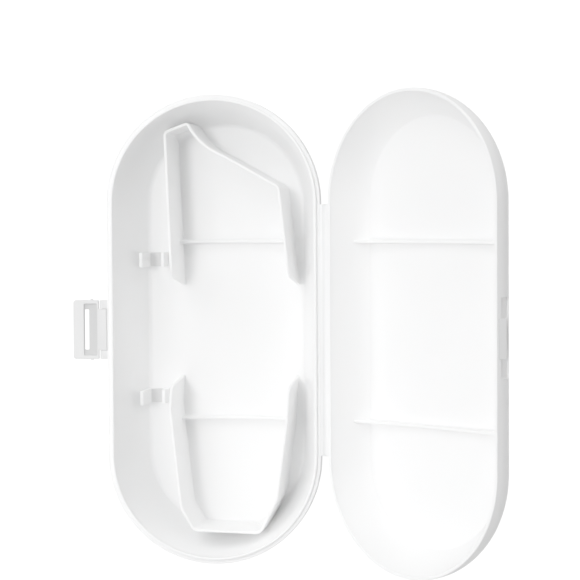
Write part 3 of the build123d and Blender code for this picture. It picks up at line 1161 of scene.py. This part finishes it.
@dataclass
class TipClip:
    """A U-shaped clip that a jet tip is pressed into, with a tall prong next to the wall."""

    wardrobe: Wardrobe
    name: str
    node: str
    y: float
    centre_x: float = -38.4
    tip_radius: float = 3.9
    prong: float = 2.0
    floor: float = 1.2
    length: float = 7.8
    wall_prong_height: float = 22.0
    inner_prong_height: float = 11.5
    edge: float = 0.35
    prong_inner_round: float = 0.8
    prong_outer_round: float = 0.6
    seat_steps: int = 14

    def make(self) -> None:
        """Makes the clip: an outline with a half-round seat, drawn along the case."""
        level = SIZES.floor_level
        seat = level + self.floor + self.tip_radius
        outer, inner = self.tip_radius + self.prong, self.tip_radius
        prong_rounds = [self.prong_inner_round, self.prong_outer_round]
        prongs = rounded_outline(
            [
                (-inner, seat),
                (-inner, level + self.wall_prong_height),
                (-outer, level + self.wall_prong_height),
                (-outer, level - SIZES.sunk),
                (outer, level - SIZES.sunk),
                (outer, level + self.inner_prong_height),
                (inner, level + self.inner_prong_height),
                (inner, seat),
            ],
            [0.0, *prong_rounds, 0.0, 0.0, *prong_rounds[::-1], 0.0],
            closed=False,
        )
        angle = np.linspace(0.0, -math.pi, self.seat_steps + 1)[1:-1]
        round_seat = np.stack([inner * np.cos(angle), seat + inner * np.sin(angle)], axis=1)
        outline = np.concatenate([prongs, round_seat]) + np.array([self.centre_x, 0.0])
        half = self.length / 2
        clip = SurfaceMesh()
        clip.add_bar(rounded_bar(outline, self.y - half, self.y + half, self.edge))
        piece = clip.make(self.name)
        self.wardrobe.dress(piece, Body.BASE, Finish.CASE, self.node)
        # The seat's upward faces get the latch's darker grey: painted shade between the prongs.
        painted_shade_material = self.wardrobe.material(Finish.LATCH)
        self.wardrobe.paint_shade_on_sunk_faces(piece, level + self.floor - self.edge, seat, painted_shade_material)


# Lid


@dataclass
class LidMoulding:
    """The shallow shell with its rim, its pocket and lug for the latch, and its two ribs."""

    wardrobe: Wardrobe
    floor: float = 1.7
    back_bulge: float = 4.0
    back_step: float = 0.5
    rim_edge: float = 0.45
    pocket_length: float = 39.6
    pocket_from_rim: float = 3.6
    pocket_end: float = 12.5
    pocket_depth: float = 1.2
    ramp: float = 0.3  # across which the pocket's edges fall
    rib_thickness: float = 1.6
    rib_end_height: float = 6.6
    rib_middle_height: float = 2.8
    upper_rib_y: float = 46.8
    lower_rib_y: float = -48.4
    lug_from_rim: float = 4.2
    lug_thickness: float = 1.7
    lug_length: float = 20.0
    lug_stand: float = 1.5
    lug_nose_height: float = 0.5
    lug_ramp_from_rim: float = 1.4
    rim_inner_edge: float = 0.3
    rim_sunk: float = 0.05  # how far the rim's band runs on into the wall
    rib_edge: float = 0.5
    rib_flare: float = 0.5
    rib_end_drop: float = 1.0  # below a rib's end, where its reach is measured
    rib_columns: int = 61
    lug_nose_round: float = 0.25
    lug_ramp_round: float = 0.3
    lug_edge: float = 0.3
    lug_inside_wall: float = 0.02  # how far inside the lid's side the lug's ramp ends
    spacing: float = 3.0

    @property
    def rim_foot(self) -> float:
        """Height at which the rim's band begins, in the flat lid."""
        return -SIZES.seam_gap / 2 - SIZES.lid_rim_height

    def wall_line(
        self, foot: tuple[float, float], top: tuple[float, float], bulge: float
    ) -> np.ndarray:
        """The curved wall between two points: an arc that stands out from their chord.

        Args:
            foot: Radius and height of its lower end.
            top: Radius and height of its upper end.
            bulge: How far its middle stands out from the chord.

        Returns:
            Radius and height of its points.
        """
        across, rise = top[0] - foot[0], top[1] - foot[1]
        length = math.hypot(across, rise)
        middle = (
            (foot[0] + top[0]) / 2 + rise / length * bulge,
            (foot[1] + top[1]) / 2 - across / length * bulge,
        )
        return circle_through(foot, middle, top, steps=30)

    def inside_line(self) -> np.ndarray:
        """The inside of the flat lid's half section, from its middle to the rim's band.

        Returns:
            Radius and height of its points.
        """
        foot = (SIZES.lid_floor_radius, -SIZES.lid_depth)
        wall = self.wall_line(foot, (SIZES.lid_mouth_radius, self.rim_foot), SIZES.lid_wall_bulge)
        floor = line_points(np.array([0.0, -SIZES.lid_depth]), np.array(foot), self.spacing)
        return np.concatenate([[[0.0, -SIZES.lid_depth]], floor, wall])

    def outside_line(self) -> np.ndarray:
        """The outside of the flat lid's half section, from the rim's band to its middle.

        Returns:
            Radius and height of its points.
        """
        back = -SIZES.lid_depth - self.floor
        foot = (SIZES.lid_floor_radius + self.back_step, back)
        wall = self.wall_line(foot, (SIZES.rim_radius, self.rim_foot), self.back_bulge)
        floor = line_points(np.array(foot), np.array([0.0, back]), self.spacing)
        return np.concatenate([wall[::-1], floor, [[0.0, back]]])

    def with_pocket_rows(self, line: np.ndarray) -> np.ndarray:
        """The same line with points at both edges of the pocket, in order of height.

        Args:
            line: Radius and height of a half section's points.

        Returns:
            The same with the added points, in the same direction.
        """
        upper, lower = -self.pocket_from_rim, -self.pocket_end
        levels = np.array([upper + self.ramp, upper, lower, lower - self.ramp])
        rising = line[0, 1] < line[-1, 1]
        ordered = line if rising else line[::-1]
        on_wall = ordered[:, 1] > -SIZES.lid_depth - self.floor + NEAR
        wall, flat = ordered[on_wall], ordered[~on_wall]
        heights = np.unique(np.round(np.concatenate([wall[:, 1], levels]), 4))
        radii = np.interp(heights, wall[:, 1], wall[:, 0])
        merged = np.concatenate([flat, np.stack([radii, heights], axis=1)])
        return merged if rising else merged[::-1]

    def pocket_share(self, along: np.ndarray, turn: np.ndarray, height: np.ndarray) -> np.ndarray:
        """How far each point of the wall is drawn into the pocket, from 0 to 1.

        It is the product of two ramps, one of the distance along the case from the pocket's end
        and one of the height from its upper and lower edge, on the side away from the hinge.

        Args:
            along: Centre of each place on the path, along the case.
            turn: Its outward angle.
            height: Heights of the half section's points.

        Returns:
            The share, in rows along the path and columns over the section.
        """
        half = self.pocket_length / 2
        on_side = (np.abs(turn) < TINY) & (np.abs(along) <= half + self.ramp)
        lengthwise = smooth_step((half + self.ramp - np.abs(along)) / self.ramp) * on_side
        upper = smooth_step((-self.pocket_from_rim + self.ramp - height) / self.ramp)
        lower = smooth_step((height + self.pocket_end + self.ramp) / self.ramp)
        return lengthwise[:, None] * (upper * lower)[None]

    def make(self) -> None:
        """Makes the shell, the rim, the ribs and the lug."""
        self.make_shell()
        self.make_rim()
        self.make_rib("lid_rib_upper", "lid_upper_rib", self.upper_rib_y)
        self.make_rib("lid_rib_lower", "lid_lower_rib", self.lower_rib_y)
        self.make_lug()

    def make_shell(self) -> None:
        """Makes the shell.

        Its half section is carried along the stadium path, with the radius drawn in by the
        pocket's depth times the pocket's share on both faces of the wall.
        """
        half = self.pocket_length / 2
        ends = (half, half + self.ramp / 2, half + self.ramp)
        path = StadiumPath(extra=tuple(sorted([-e for e in ends] + list(ends))))
        inside = self.inside_line()
        on_floor = inside[:, 1] <= -SIZES.lid_depth + TINY
        wall = self.with_pocket_rows(inside[~on_floor])
        inside = np.concatenate([inside[on_floor], wall])
        outside = self.with_pocket_rows(self.outside_line())
        line = np.concatenate([inside, outside])
        along, turn = path.places()
        share = self.pocket_share(along, turn, line[:, 1])
        radius = line[:, 0][None] - self.pocket_depth * share
        shell = SurfaceMesh()
        shell.add_grid(SIZES.open_lid(path.carry(radius, line[:, 1])), wrap_rows=True)
        piece = shell.make("lid_moulding")
        self.wardrobe.dress(piece, Body.LID, Finish.CASE, "lid_shell")

    def make_rim(self) -> None:
        """Makes the rim: a closed outline carried along the stadium path."""
        inner = SIZES.lid_mouth_radius
        foot, top = self.rim_foot - self.rim_sunk, -SIZES.seam_gap / 2
        corners = [(inner, foot), (SIZES.rim_radius, foot), (SIZES.rim_radius, top), (inner, top)]
        edge = rounded_outline(corners, [0.0, 0.0, self.rim_edge, self.rim_inner_edge])
        rim = SurfaceMesh()
        grid = StadiumPath().carry(edge[:, 0], edge[:, 1])
        rim.add_grid(SIZES.open_lid(grid), wrap_rows=True, wrap_columns=True)
        piece = rim.make("lid_rim_band")
        self.wardrobe.dress(piece, Body.LID, Finish.CASE, "lid_rim")

    def make_rib(self, name: str, node: str, y: float) -> None:
        """Makes a rib.

        Its faces are functions of the place across the lid and of the height, stretched across so
        that the ends keep to the wall's radius at each height.

        Args:
            name: The piece's name.
            node: The CAD node that it stands for.
            y: Where it stands along the case.
        """
        radius, level = self.inside_line().T
        across = np.linspace(-1.0, 1.0, self.rib_columns)
        end_level = self.rib_end_height - self.rib_end_drop - SIZES.lid_depth
        ends = float(np.interp(end_level, level, radius))
        height = arc_through(
            self.rib_end_height, self.rib_middle_height, SIZES.mouth_radius, across * ends
        )
        front, back = ribbed_sheet(
            across,
            height,
            RIB_FOOT_ROWS,
            RIB_TOP_ROWS,
            self.rib_thickness,
            self.rib_edge,
            self.rib_flare,
        )
        rib = SurfaceMesh()
        for face in (front, back):
            face[..., 1] += y
            face[..., 2] -= SIZES.lid_depth
            face[..., 0] *= np.interp(face[..., 2], level, radius) + SIZES.sunk
        rib.add_plate(SIZES.open_lid(front), SIZES.open_lid(back))
        piece = rib.make(name)
        self.wardrobe.dress(piece, Body.LID, Finish.CASE, node)

    def make_lug(self) -> None:
        """Makes the lug: a bar with a ramp from below the rim out to its nose."""
        nose = SIZES.rim_radius + self.lug_stand
        root = SIZES.rim_radius - self.pocket_depth - SIZES.sunk
        low = -self.lug_from_rim - self.lug_thickness
        corners = [
            (root, low),
            (nose, low),
            (nose, low + self.lug_nose_height),
            (SIZES.rim_radius - self.lug_inside_wall, -self.lug_ramp_from_rim),
            (root, -self.lug_ramp_from_rim),
        ]
        rounds = [0.0, self.lug_nose_round, self.lug_ramp_round, 0.0, 0.0]
        outline = rounded_outline(corners, rounds, spacing=1.0)
        bar = rounded_bar(outline, -self.lug_length / 2, self.lug_length / 2, self.lug_edge)
        lug = SurfaceMesh()
        lug.add_bar(SIZES.open_lid(bar))
        piece = lug.make("latch_lug")
        self.wardrobe.dress(piece, Body.LID, Finish.LATCH, "lid_catch")


# Hinge


@dataclass
class HingeWeb:
    """The thin web from rim to rim, with a thinner strip down its middle that bends."""

    wardrobe: Wardrobe
    length: float = 133.0
    leaf: float = 0.9
    film: float = 0.4
    film_width: float = 1.6
    overlap: float = 0.3  # how far the web runs on into each rim
    points: int = 15
    fine_reach: float = 1.2  # either side of the strip's middle, with points closer together
    fine_points: int = 33
    thin_reach: float = 1.15  # where the thinning starts
    thin_run: float = 0.5  # across which it thins
    edge: float = 0.15

    def make(self) -> None:
        """Makes the web.

        Its section is a function of the place across it: half the leaf's thickness, easing to
        half the film's over the strip. Each point of the flat web is turned about the hinge by
        the lid's angle times a smooth step across the strip, which is how the strip bends.
        """
        reach = SIZES.hinge_gap / 2 + self.overlap
        coarse = np.linspace(-reach, reach, self.points)
        fine = np.linspace(-self.fine_reach, self.fine_reach, self.fine_points)
        across = np.unique(np.concatenate([coarse, fine]))
        thin = smooth_step((self.thin_reach - np.abs(across)) / self.thin_run)
        half = (self.leaf + (self.film - self.leaf) * thin) / 2
        middle = -SIZES.seam_gap - self.leaf / 2
        across = np.concatenate([across, across[::-1]])
        height = middle + np.concatenate([half, -half[::-1]])
        turn = math.radians(SIZES.lid_angle)
        angle = turn * smooth_step(across / self.film_width + 0.5)
        x = across * np.cos(angle) - height * np.sin(angle) + SIZES.hinge_x
        z = across * np.sin(angle) + height * np.cos(angle) + SIZES.parting_level
        outline = np.stack([x, z], axis=1)
        web = SurfaceMesh()
        web.add_bar(rounded_bar(outline, -self.length / 2, self.length / 2, self.edge))
        piece = web.make("hinge_web")
        self.wardrobe.finish_only(
            piece, Finish.WEB, "hinge_film", "base_hinge_leaf", "lid_hinge_leaf"
        )
        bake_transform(piece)


# Latch


@dataclass
class Latch:
    """The flap with its window, the two ears and the pin that it turns on."""

    wardrobe: Wardrobe
    barrel_radius: float = 2.0
    barrel_corner: float = 0.8
    barrel_length: float = 22.0
    pin_radius: float = 1.0
    bore_radius: float = 1.06
    ear_length: float = 4.7
    end_gap: float = 0.2
    flap_length: float = 16.5
    flap_width: float = 31.7
    flap_thickness: float = 1.6
    ear_gap: float = 0.3
    corner_round: float = 1.5
    recess_depth: float = 0.8
    recess_margin: float = 1.9
    recess_beyond_window: float = 0.4
    window_near: float = 7.9
    window_far: float = 10.2
    window_half_length: float = 10.8
    nib_radius: float = 0.8
    nib_from_pin: float = 6.3
    nib_edge: float = 0.2
    nib_inset: float = 0.05  # from the flap's faces
    ear_sunk: float = 0.3  # how far an ear runs on into the lip
    ear_edge: float = 0.25
    barrel_edge: float = 0.2
    pin_edge: float = 0.15
    neck_from_pin: tuple[float, float] = (1.2, 3.2)
    neck_inset: tuple[float, float] = (0.02, 0.004)  # from the flap's lower and upper face
    under_edge: float = 0.3
    upper_edge: float = 0.4
    recess_edge: float = 0.18
    recess_draft: float = 0.02
    recess_foot: float = 0.12
    window_edge: float = 0.15
    near_corner_round: float = 0.6
    recess_corner_round: float = 0.7
    window_corner_round: float = 0.4
    under_supports: tuple[float, float] = (1.0, 1.2)  # beyond the window, inside the outline
    upper_supports: tuple[float, float] = (0.55, 0.3)  # inside the outline, beyond the recess
    corner_steps: int = 6
    side_points: tuple[int, int] = (12, 22)  # on a loop's short and long sides
    painted_shade_reach: float = 0.25  # above and below the recess's floor, where shade is painted

    @property
    def top(self) -> float:
        """Height of the flap's upper face."""
        return SIZES.pin_level + self.barrel_radius

    def make(self) -> None:
        """Makes the ears, the pin and the flap."""
        middle = self.barrel_length / 2 + self.end_gap + self.ear_length / 2
        self.make_ear("latch_ear_upper", "upper_latch_ear", middle)
        self.make_ear("latch_ear_lower", "lower_latch_ear", -middle)
        self.make_pin()
        self.make_flap()

    def tube(
        self, outline: np.ndarray, bore: float, start: float, end: float, edge: float
    ) -> np.ndarray:
        """A surface round a bore along y, as rows round the pin and columns over the section.

        For each angle round the pin the section runs from the bore out along one end face, over
        a rounded edge, along the outside and back: radius and y are both read off that loop.

        Args:
            outline: Outer radius at each of the evenly spaced angles.
            bore: Radius of the bore.
            start: Where it starts along y.
            end: Where it ends.
            edge: Radius of its outer end edges.

        Returns:
            Points in rows round the pin and columns round the section.
        """
        turn = full_turn(len(outline))
        drop, step = quarter_round(edge)
        share = np.concatenate([[0.0], np.ones(2 * len(step)), [0.0]])
        less = np.concatenate([[0.0], drop, drop[::-1], [0.0]])
        y = np.concatenate([[start], start + step, (end - step)[::-1], [end]])
        radius = bore * (1 - share)[None] + share[None] * outline[:, None] - less[None]
        x = SIZES.pin_x + radius * np.cos(turn)[:, None]
        z = SIZES.pin_level + radius * np.sin(turn)[:, None]
        return np.stack([x, np.broadcast_to(y, x.shape), z], axis=-1)

    def squared_barrel(self, count: int) -> np.ndarray:
        """Radius of the squared barrel at evenly spaced angles.

        On a side it is the half height over the larger of cosine and sine, and at a corner it is
        the far crossing of the angle's line with the corner circle.

        Args:
            count: How many angles.

        Returns:
            The radius at each angle.
        """
        turn = full_turn(count)
        u, v = np.abs(np.cos(turn)), np.abs(np.sin(turn))
        side = self.barrel_radius / np.maximum(u, v)
        inner = self.barrel_radius - self.barrel_corner
        root = np.sqrt(np.clip(self.barrel_corner**2 - inner**2 * (u - v) ** 2, 0.0, None))
        return np.where(side * np.minimum(u, v) > inner, inner * (u + v) + root, side)

    def make_ear(self, name: str, node: str, middle: float) -> None:
        """Makes an ear.

        Round the pin its radius is the barrel's, and towards the case it reaches the lip's face,
        as far as the top and bottom of the barrel allow.

        Args:
            name: The piece's name.
            node: The CAD node that it stands for.
            middle: Where its middle is along the case.
        """
        turn = full_turn(ROUND_STEPS)
        reach = (SIZES.latch_reach + self.ear_sunk) / np.maximum(np.cos(turn), TINY)
        rise = self.barrel_radius / np.maximum(np.abs(np.sin(turn)), TINY)
        outline = np.where(np.cos(turn) > 0, np.minimum(reach, rise), self.barrel_radius)
        half = self.ear_length / 2
        ear = SurfaceMesh()
        grid = self.tube(outline, self.pin_radius, middle - half, middle + half, self.ear_edge)
        ear.add_grid(grid, wrap_rows=True, wrap_columns=True)
        piece = ear.make(name)
        self.wardrobe.dress(piece, Body.BASE, Finish.LATCH, node)

    def make_pin(self) -> None:
        """Makes the pin: a circle drawn along the case with rounded ends."""
        turn = full_turn(ROUND_STEPS // 2)
        circle = self.pin_radius * np.stack([np.cos(turn), np.sin(turn)], axis=1)
        half = self.barrel_length / 2 + self.end_gap + self.ear_length
        centre = np.array([SIZES.pin_x, SIZES.pin_level])
        bar = rounded_bar(circle + centre, -half, half, self.pin_edge)
        pin = SurfaceMesh()
        pin.add_bar(bar)
        piece = pin.make("latch_pivot_pin")
        self.wardrobe.dress(piece, Body.BASE, Finish.LATCH, "latch_pin")

    def framed_loop(
        self, near: float, far: float, half_length: float, rounds: tuple[float, float], z: float
    ) -> np.ndarray:
        """One loop of the flap's plate: a rectangle with rounded corners at one height.

        Args:
            near: Its edge next to the pin, from the pin's axis.
            far: Its edge at the tab, from the pin's axis.
            half_length: Half its length along the case.
            rounds: Corner radius at the near and at the far edge.
            z: Its height.

        Returns:
            The loop's points, the same number whatever the sizes.
        """
        arc = np.linspace(0.0, math.pi / 2, self.corner_steps + 1)
        corners = [
            (-near, half_length, 0.0, rounds[0]),
            (-far, half_length, math.pi / 2, rounds[1]),
            (-far, -half_length, math.pi, rounds[1]),
            (-near, -half_length, 1.5 * math.pi, rounds[0]),
        ]
        pieces = []
        for x, y, first, radius in corners:
            sign_x = 1.0 if x == -near else -1.0
            centre = np.array([x - sign_x * radius, y - math.copysign(radius, y)])
            angle = first + arc
            pieces.append(centre + radius * np.stack([np.cos(angle), np.sin(angle)], axis=1))
        runs = []
        for index, bend in enumerate(pieces):
            runs.append(bend)
            following = pieces[(index + 1) % 4][0]
            share = np.linspace(0.0, 1.0, self.side_points[index % 2])[1:-1, None]
            runs.append(bend[-1] + share * (following - bend[-1]))
        loop = np.concatenate(runs)
        return np.stack([loop[:, 0] + SIZES.pin_x, loop[:, 1], np.full(len(loop), z)], axis=1)

    def plate(self) -> np.ndarray:
        """The flap's plate.

        Its loops run from the window's lower edge out underneath, up the outside, over the top and
        the recess and back down through the window.

        Returns:
            Points in rows from loop to loop and columns round each loop.
        """
        top, bottom = self.top, self.top - self.flap_thickness
        near, far = self.barrel_radius + self.ear_gap, self.flap_length
        half = self.flap_width / 2
        hole_near, hole_far = self.window_near, self.window_far
        sunk_near = near + self.recess_margin / 2
        sunk_far = hole_far + self.recess_beyond_window
        sunk_half = half - self.recess_margin
        sunk = top - self.recess_depth

        def outer(inset: float, z: float) -> np.ndarray:
            """The plate's outline, drawn in by the inset."""
            rounds = (self.near_corner_round, self.corner_round)
            return self.framed_loop(near + inset, far - inset, half - inset, rounds, z)

        def recess(inset: float, z: float) -> np.ndarray:
            """The recess's outline, drawn in by the inset."""
            size = (sunk_near + inset, sunk_far - inset, sunk_half - inset)
            return self.framed_loop(*size, (self.recess_corner_round,) * 2, z)

        def window(wider: float, z: float) -> np.ndarray:
            """The window's outline, widened all round."""
            size = (hole_near - wider, hole_far + wider, self.window_half_length + wider)
            return self.framed_loop(*size, (self.window_corner_round,) * 2, z)

        under, upper, lip = (
            list(zip(*quarter_round(edge)))
            for edge in (self.under_edge, self.upper_edge, self.recess_edge)
        )
        loops = [window(0.0, bottom + self.window_edge), window(self.window_edge, bottom)]
        loops += [window(self.under_supports[0], bottom), outer(self.under_supports[1], bottom)]
        loops += [outer(back, bottom + along) for back, along in under]
        loops += [outer(along, top - back) for back, along in upper]
        loops += [outer(self.upper_supports[0], top), recess(-self.upper_supports[1], top)]
        loops += [recess(-back, top - along) for back, along in lip]
        loops += [recess(self.recess_draft, sunk + self.recess_foot)]
        loops += [recess(self.recess_draft + self.recess_foot, sunk)]
        loops += [window(back, sunk - along) for back, along in lip]
        return np.stack(loops)

    def make_flap(self) -> None:
        """Makes the flap: the plate, the barrel on the pin, the neck between them and two nibs."""
        flap = SurfaceMesh()
        flap.add_grid(self.plate(), wrap_rows=True, wrap_columns=True)
        half = self.barrel_length / 2
        outline = self.squared_barrel(ROUND_STEPS)
        barrel = self.tube(outline, self.bore_radius, -half, half, self.barrel_edge)
        flap.add_grid(barrel, wrap_rows=True, wrap_columns=True)

        top, bottom = self.top, self.top - self.flap_thickness
        near, far = (SIZES.pin_x - distance for distance in self.neck_from_pin)
        low, high = bottom + self.neck_inset[0], top - self.neck_inset[1]
        corners = [(far, low), (near, low), (near, high), (far, high)]
        neck = rounded_outline(corners, [0.0] * 4, spacing=1.0)
        flap.add_bar(rounded_bar(neck, -half, half, self.barrel_edge))
        turn = full_turn(ROUND_STEPS // 3)
        rows = np.array([self.nib_inset, self.nib_inset + self.nib_edge])
        height = np.concatenate([bottom + rows, (top - rows)[::-1]])
        radius = self.nib_radius - np.array([self.nib_edge, 0.0, 0.0, self.nib_edge])
        for side in (-1, 1):
            x = SIZES.pin_x - self.nib_from_pin + radius[:, None] * np.cos(turn)
            y = side * self.flap_width / 2 + radius[:, None] * np.sin(turn)
            flap.add_bar(np.stack([x, y, np.broadcast_to(height[:, None], x.shape)], axis=-1))
        piece = flap.make("latch_flap_moulding")
        self.wardrobe.dress(piece, Body.LATCH, Finish.LATCH, "latch_flap")
        # The recess's floor gets the darker grey: painted shade.
        sunk, reach = top - self.recess_depth, self.painted_shade_reach
        self.wardrobe.paint_shade_on_sunk_faces(piece, sunk - reach, sunk + reach, self.wardrobe.painted_recess_shade())


# Studio


@dataclass(frozen=True)
class Softbox:
    """A far soft light. Its spread is how many degrees of the sky it fills."""

    name: str
    azimuth: float  # degrees from +X, anticlockwise seen from above
    elevation: float
    spread: float
    strength: float  # what a white face turned to it would show

    def make(self) -> None:
        """Makes the light, as a sun with a wide disc that shines from its direction."""
        lamp = bpy.data.lights.new(self.name, "SUN")
        lamp.angle = math.radians(self.spread)
        lamp.energy = self.strength * math.pi
        light = place_in_scene(self.name, lamp)
        azimuth, elevation = math.radians(self.azimuth), math.radians(self.elevation)
        level, rise = math.cos(elevation), math.sin(elevation)
        towards = Vector((level * math.cos(azimuth), level * math.sin(azimuth), rise))
        light.rotation_euler = (-towards).to_track_quat("-Z", "Y").to_euler()


SOFTBOXES = (
    Softbox("key", azimuth=149.5, elevation=78.1, spread=9.0, strength=0.2),
    Softbox("right", azimuth=0.0, elevation=30.0, spread=40.0, strength=0.047),
    Softbox("upper_right", azimuth=60.0, elevation=30.0, spread=40.0, strength=0.188),
    Softbox("upper_left", azimuth=120.0, elevation=30.0, spread=40.0, strength=0.266),
    Softbox("lower_left", azimuth=240.0, elevation=30.0, spread=40.0, strength=0.055),
    Softbox("lower_right", azimuth=300.0, elevation=30.0, spread=40.0, strength=0.035),
    Softbox("high_upper", azimuth=120.0, elevation=60.0, spread=40.0, strength=0.188),
    Softbox("high_lower", azimuth=240.0, elevation=60.0, spread=40.0, strength=0.181),
)


@dataclass(frozen=True)
class Studio:
    """A white table with a white backdrop round it, and the camera nearly straight above."""

    table_half: float = 3.0
    table_grey: float = 0.3
    table_roughness: float = 0.9
    backdrop_half: float = 3.4  # at its top
    backdrop_height: float = 1.2
    camera_place: tuple[float, float, float] = (0.1947, 0.0610, 1.1159)
    camera_right: tuple[float, float, float] = (0.98994, -0.0052, -0.1414)
    camera_back: tuple[float, float, float] = (0.1415, 0.0366, 0.9893)
    lens: float = 127.2
    sensor: float = 36.0
    room_light: float = 0.015
    tone_gamma: float = 2.1
    lamp_place: tuple[float, float, float] = (-0.475, -0.114, 0.2)
    lamp_target: tuple[float, float, float] = (0.11, -0.05, 0.09)
    lamp_width: float = 0.2
    lamp_power: float = 0.732

    def make(self) -> None:
        """Makes the table, the backdrop, the lights and the camera."""
        self.make_table()
        self.make_backdrop()
        self.make_room()
        for softbox in SOFTBOXES:
            softbox.make()
        self.make_near_lamp()
        self.make_camera()
        scene = bpy.context.scene
        scene.view_settings.view_transform = "Standard"
        scene.view_settings.look = "None"
        scene.view_settings.exposure = 0.0
        scene.view_settings.gamma = self.tone_gamma

    def ring(self, half: float, height: float) -> list[tuple[float, float, float]]:
        """The four corners of a level square about the middle, counter-clockwise.

        Args:
            half: Half the square's side, in metres.
            height: Its height, in metres.

        Returns:
            Four points.
        """
        corners = ((-half, -half), (half, -half), (half, half), (-half, half))
        return [(x, y, height) for x, y in corners]

    def make_table(self) -> None:
        """Makes the table: one flat square that is plain white, and throws no light on the case."""
        mesh = bpy.data.meshes.new("table")
        mesh.from_pydata(self.ring(self.table_half, 0.0), [], [(0, 1, 2, 3)])
        table = place_in_scene("table", mesh)
        table.visible_diffuse = False
        material = bpy.data.materials.new("table_white")
        material.use_nodes = True
        shader = material.node_tree.nodes["Principled BSDF"]
        shader.inputs["Base Color"].default_value = (*[self.table_grey] * 3, 1.0)
        shader.inputs["Roughness"].default_value = self.table_roughness
        shader.inputs["Specular IOR Level"].default_value = 0.0
        shader.inputs["Emission Color"].default_value = (1.0, 1.0, 1.0, 1.0)
        shader.inputs["Emission Strength"].default_value = 1.0
        mesh.materials.append(material)

    def make_backdrop(self) -> None:
        """Makes the plain white wall that leans outwards from the table's edges.

        It is there for the low views alone, so it neither lights the case nor shades it.
        """
        mesh = bpy.data.meshes.new("backdrop")
        foot = self.ring(self.table_half, 0.0)
        top = self.ring(self.backdrop_half, self.backdrop_height)
        sides = [(i, 4 + i, 4 + (i + 1) % 4, (i + 1) % 4) for i in range(4)]
        mesh.from_pydata(foot + top, [], sides)
        backdrop = place_in_scene("backdrop", mesh)
        backdrop.visible_diffuse = False
        backdrop.visible_glossy = False
        backdrop.visible_shadow = False
        mesh.materials.append(bpy.data.materials["table_white"])

    def make_room(self) -> None:
        """Makes the surroundings: a dim even light that fills what the lights miss."""
        world = bpy.data.worlds.new("dim_room")
        world.use_nodes = True
        room = world.node_tree.nodes["Background"]
        room.inputs["Color"].default_value = (1.0, 1.0, 1.0, 1.0)
        room.inputs["Strength"].default_value = self.room_light
        bpy.context.scene.world = world

    def make_near_lamp(self) -> None:
        """Makes the soft lamp at the latch's side that brightens the lid's floor."""
        lamp = bpy.data.lights.new("near_lamp", "AREA")
        lamp.shape = "DISK"
        lamp.size = self.lamp_width
        lamp.energy = self.lamp_power
        light = place_in_scene("near_lamp", lamp)
        light.location = self.lamp_place
        towards = Vector(self.lamp_target) - Vector(self.lamp_place)
        light.rotation_euler = towards.to_track_quat("-Z", "Y").to_euler()
        light.visible_camera = False

    def make_camera(self) -> None:
        """Makes the camera from the place and directions that fit the view."""
        back = Vector(self.camera_back).normalized()
        right = Vector(self.camera_right)
        right = (right - back * right.dot(back)).normalized()
        up = back.cross(right)
        data = bpy.data.cameras.new("camera")
        data.sensor_width = self.sensor
        data.lens = self.lens
        data.clip_start = 0.01
        camera = place_in_scene("camera", data)
        turn = Matrix((right, up, back)).transposed().to_4x4()
        camera.matrix_world = Matrix.Translation(Vector(self.camera_place)) @ turn
        bpy.context.scene.camera = camera


def main() -> None:
    """Builds the base, the lid, the hinge and the latch, and then the studio."""
    logging.basicConfig(level=logging.INFO, format="%(message)s")
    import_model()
    wardrobe = Wardrobe()

    base = BaseMoulding(wardrobe)
    base.make()
    upper = CradleWall(
        wardrobe, base, "cradle_upper", "upper_cradle", upper_cradle_path(),
        mouth_y=UPPER_MOUTH, lean=5.5, end_round=8.0, inwards=1,
    )
    lower = CradleWall(
        wardrobe, base, "cradle_lower", "lower_cradle", lower_cradle_path(),
        mouth_y=LOWER_MOUTH, lean=4.0, end_round=5.0, inwards=-1,
    )
    saddles = (
        (upper, "saddle_upper", "upper_saddle_rib", 46.6),
        (lower, "saddle_lower", "lower_saddle_rib", -50.4),
    )
    for cradle, name, node, y in saddles:
        cradle.make()
        left, right = cradle.sides_at(y)
        SaddleRib(wardrobe, base, name, node, y, left, right).make()
    TipClip(wardrobe, "tip_clip_upper", "upper_tip_clip", 36.9).make()
    TipClip(wardrobe, "tip_clip_lower", "lower_tip_clip", -38.5).make()
    LidMoulding(wardrobe).make()
    HingeWeb(wardrobe).make()
    Latch(wardrobe).make()
    Studio().make()


if __name__ == "__main__":
    main()
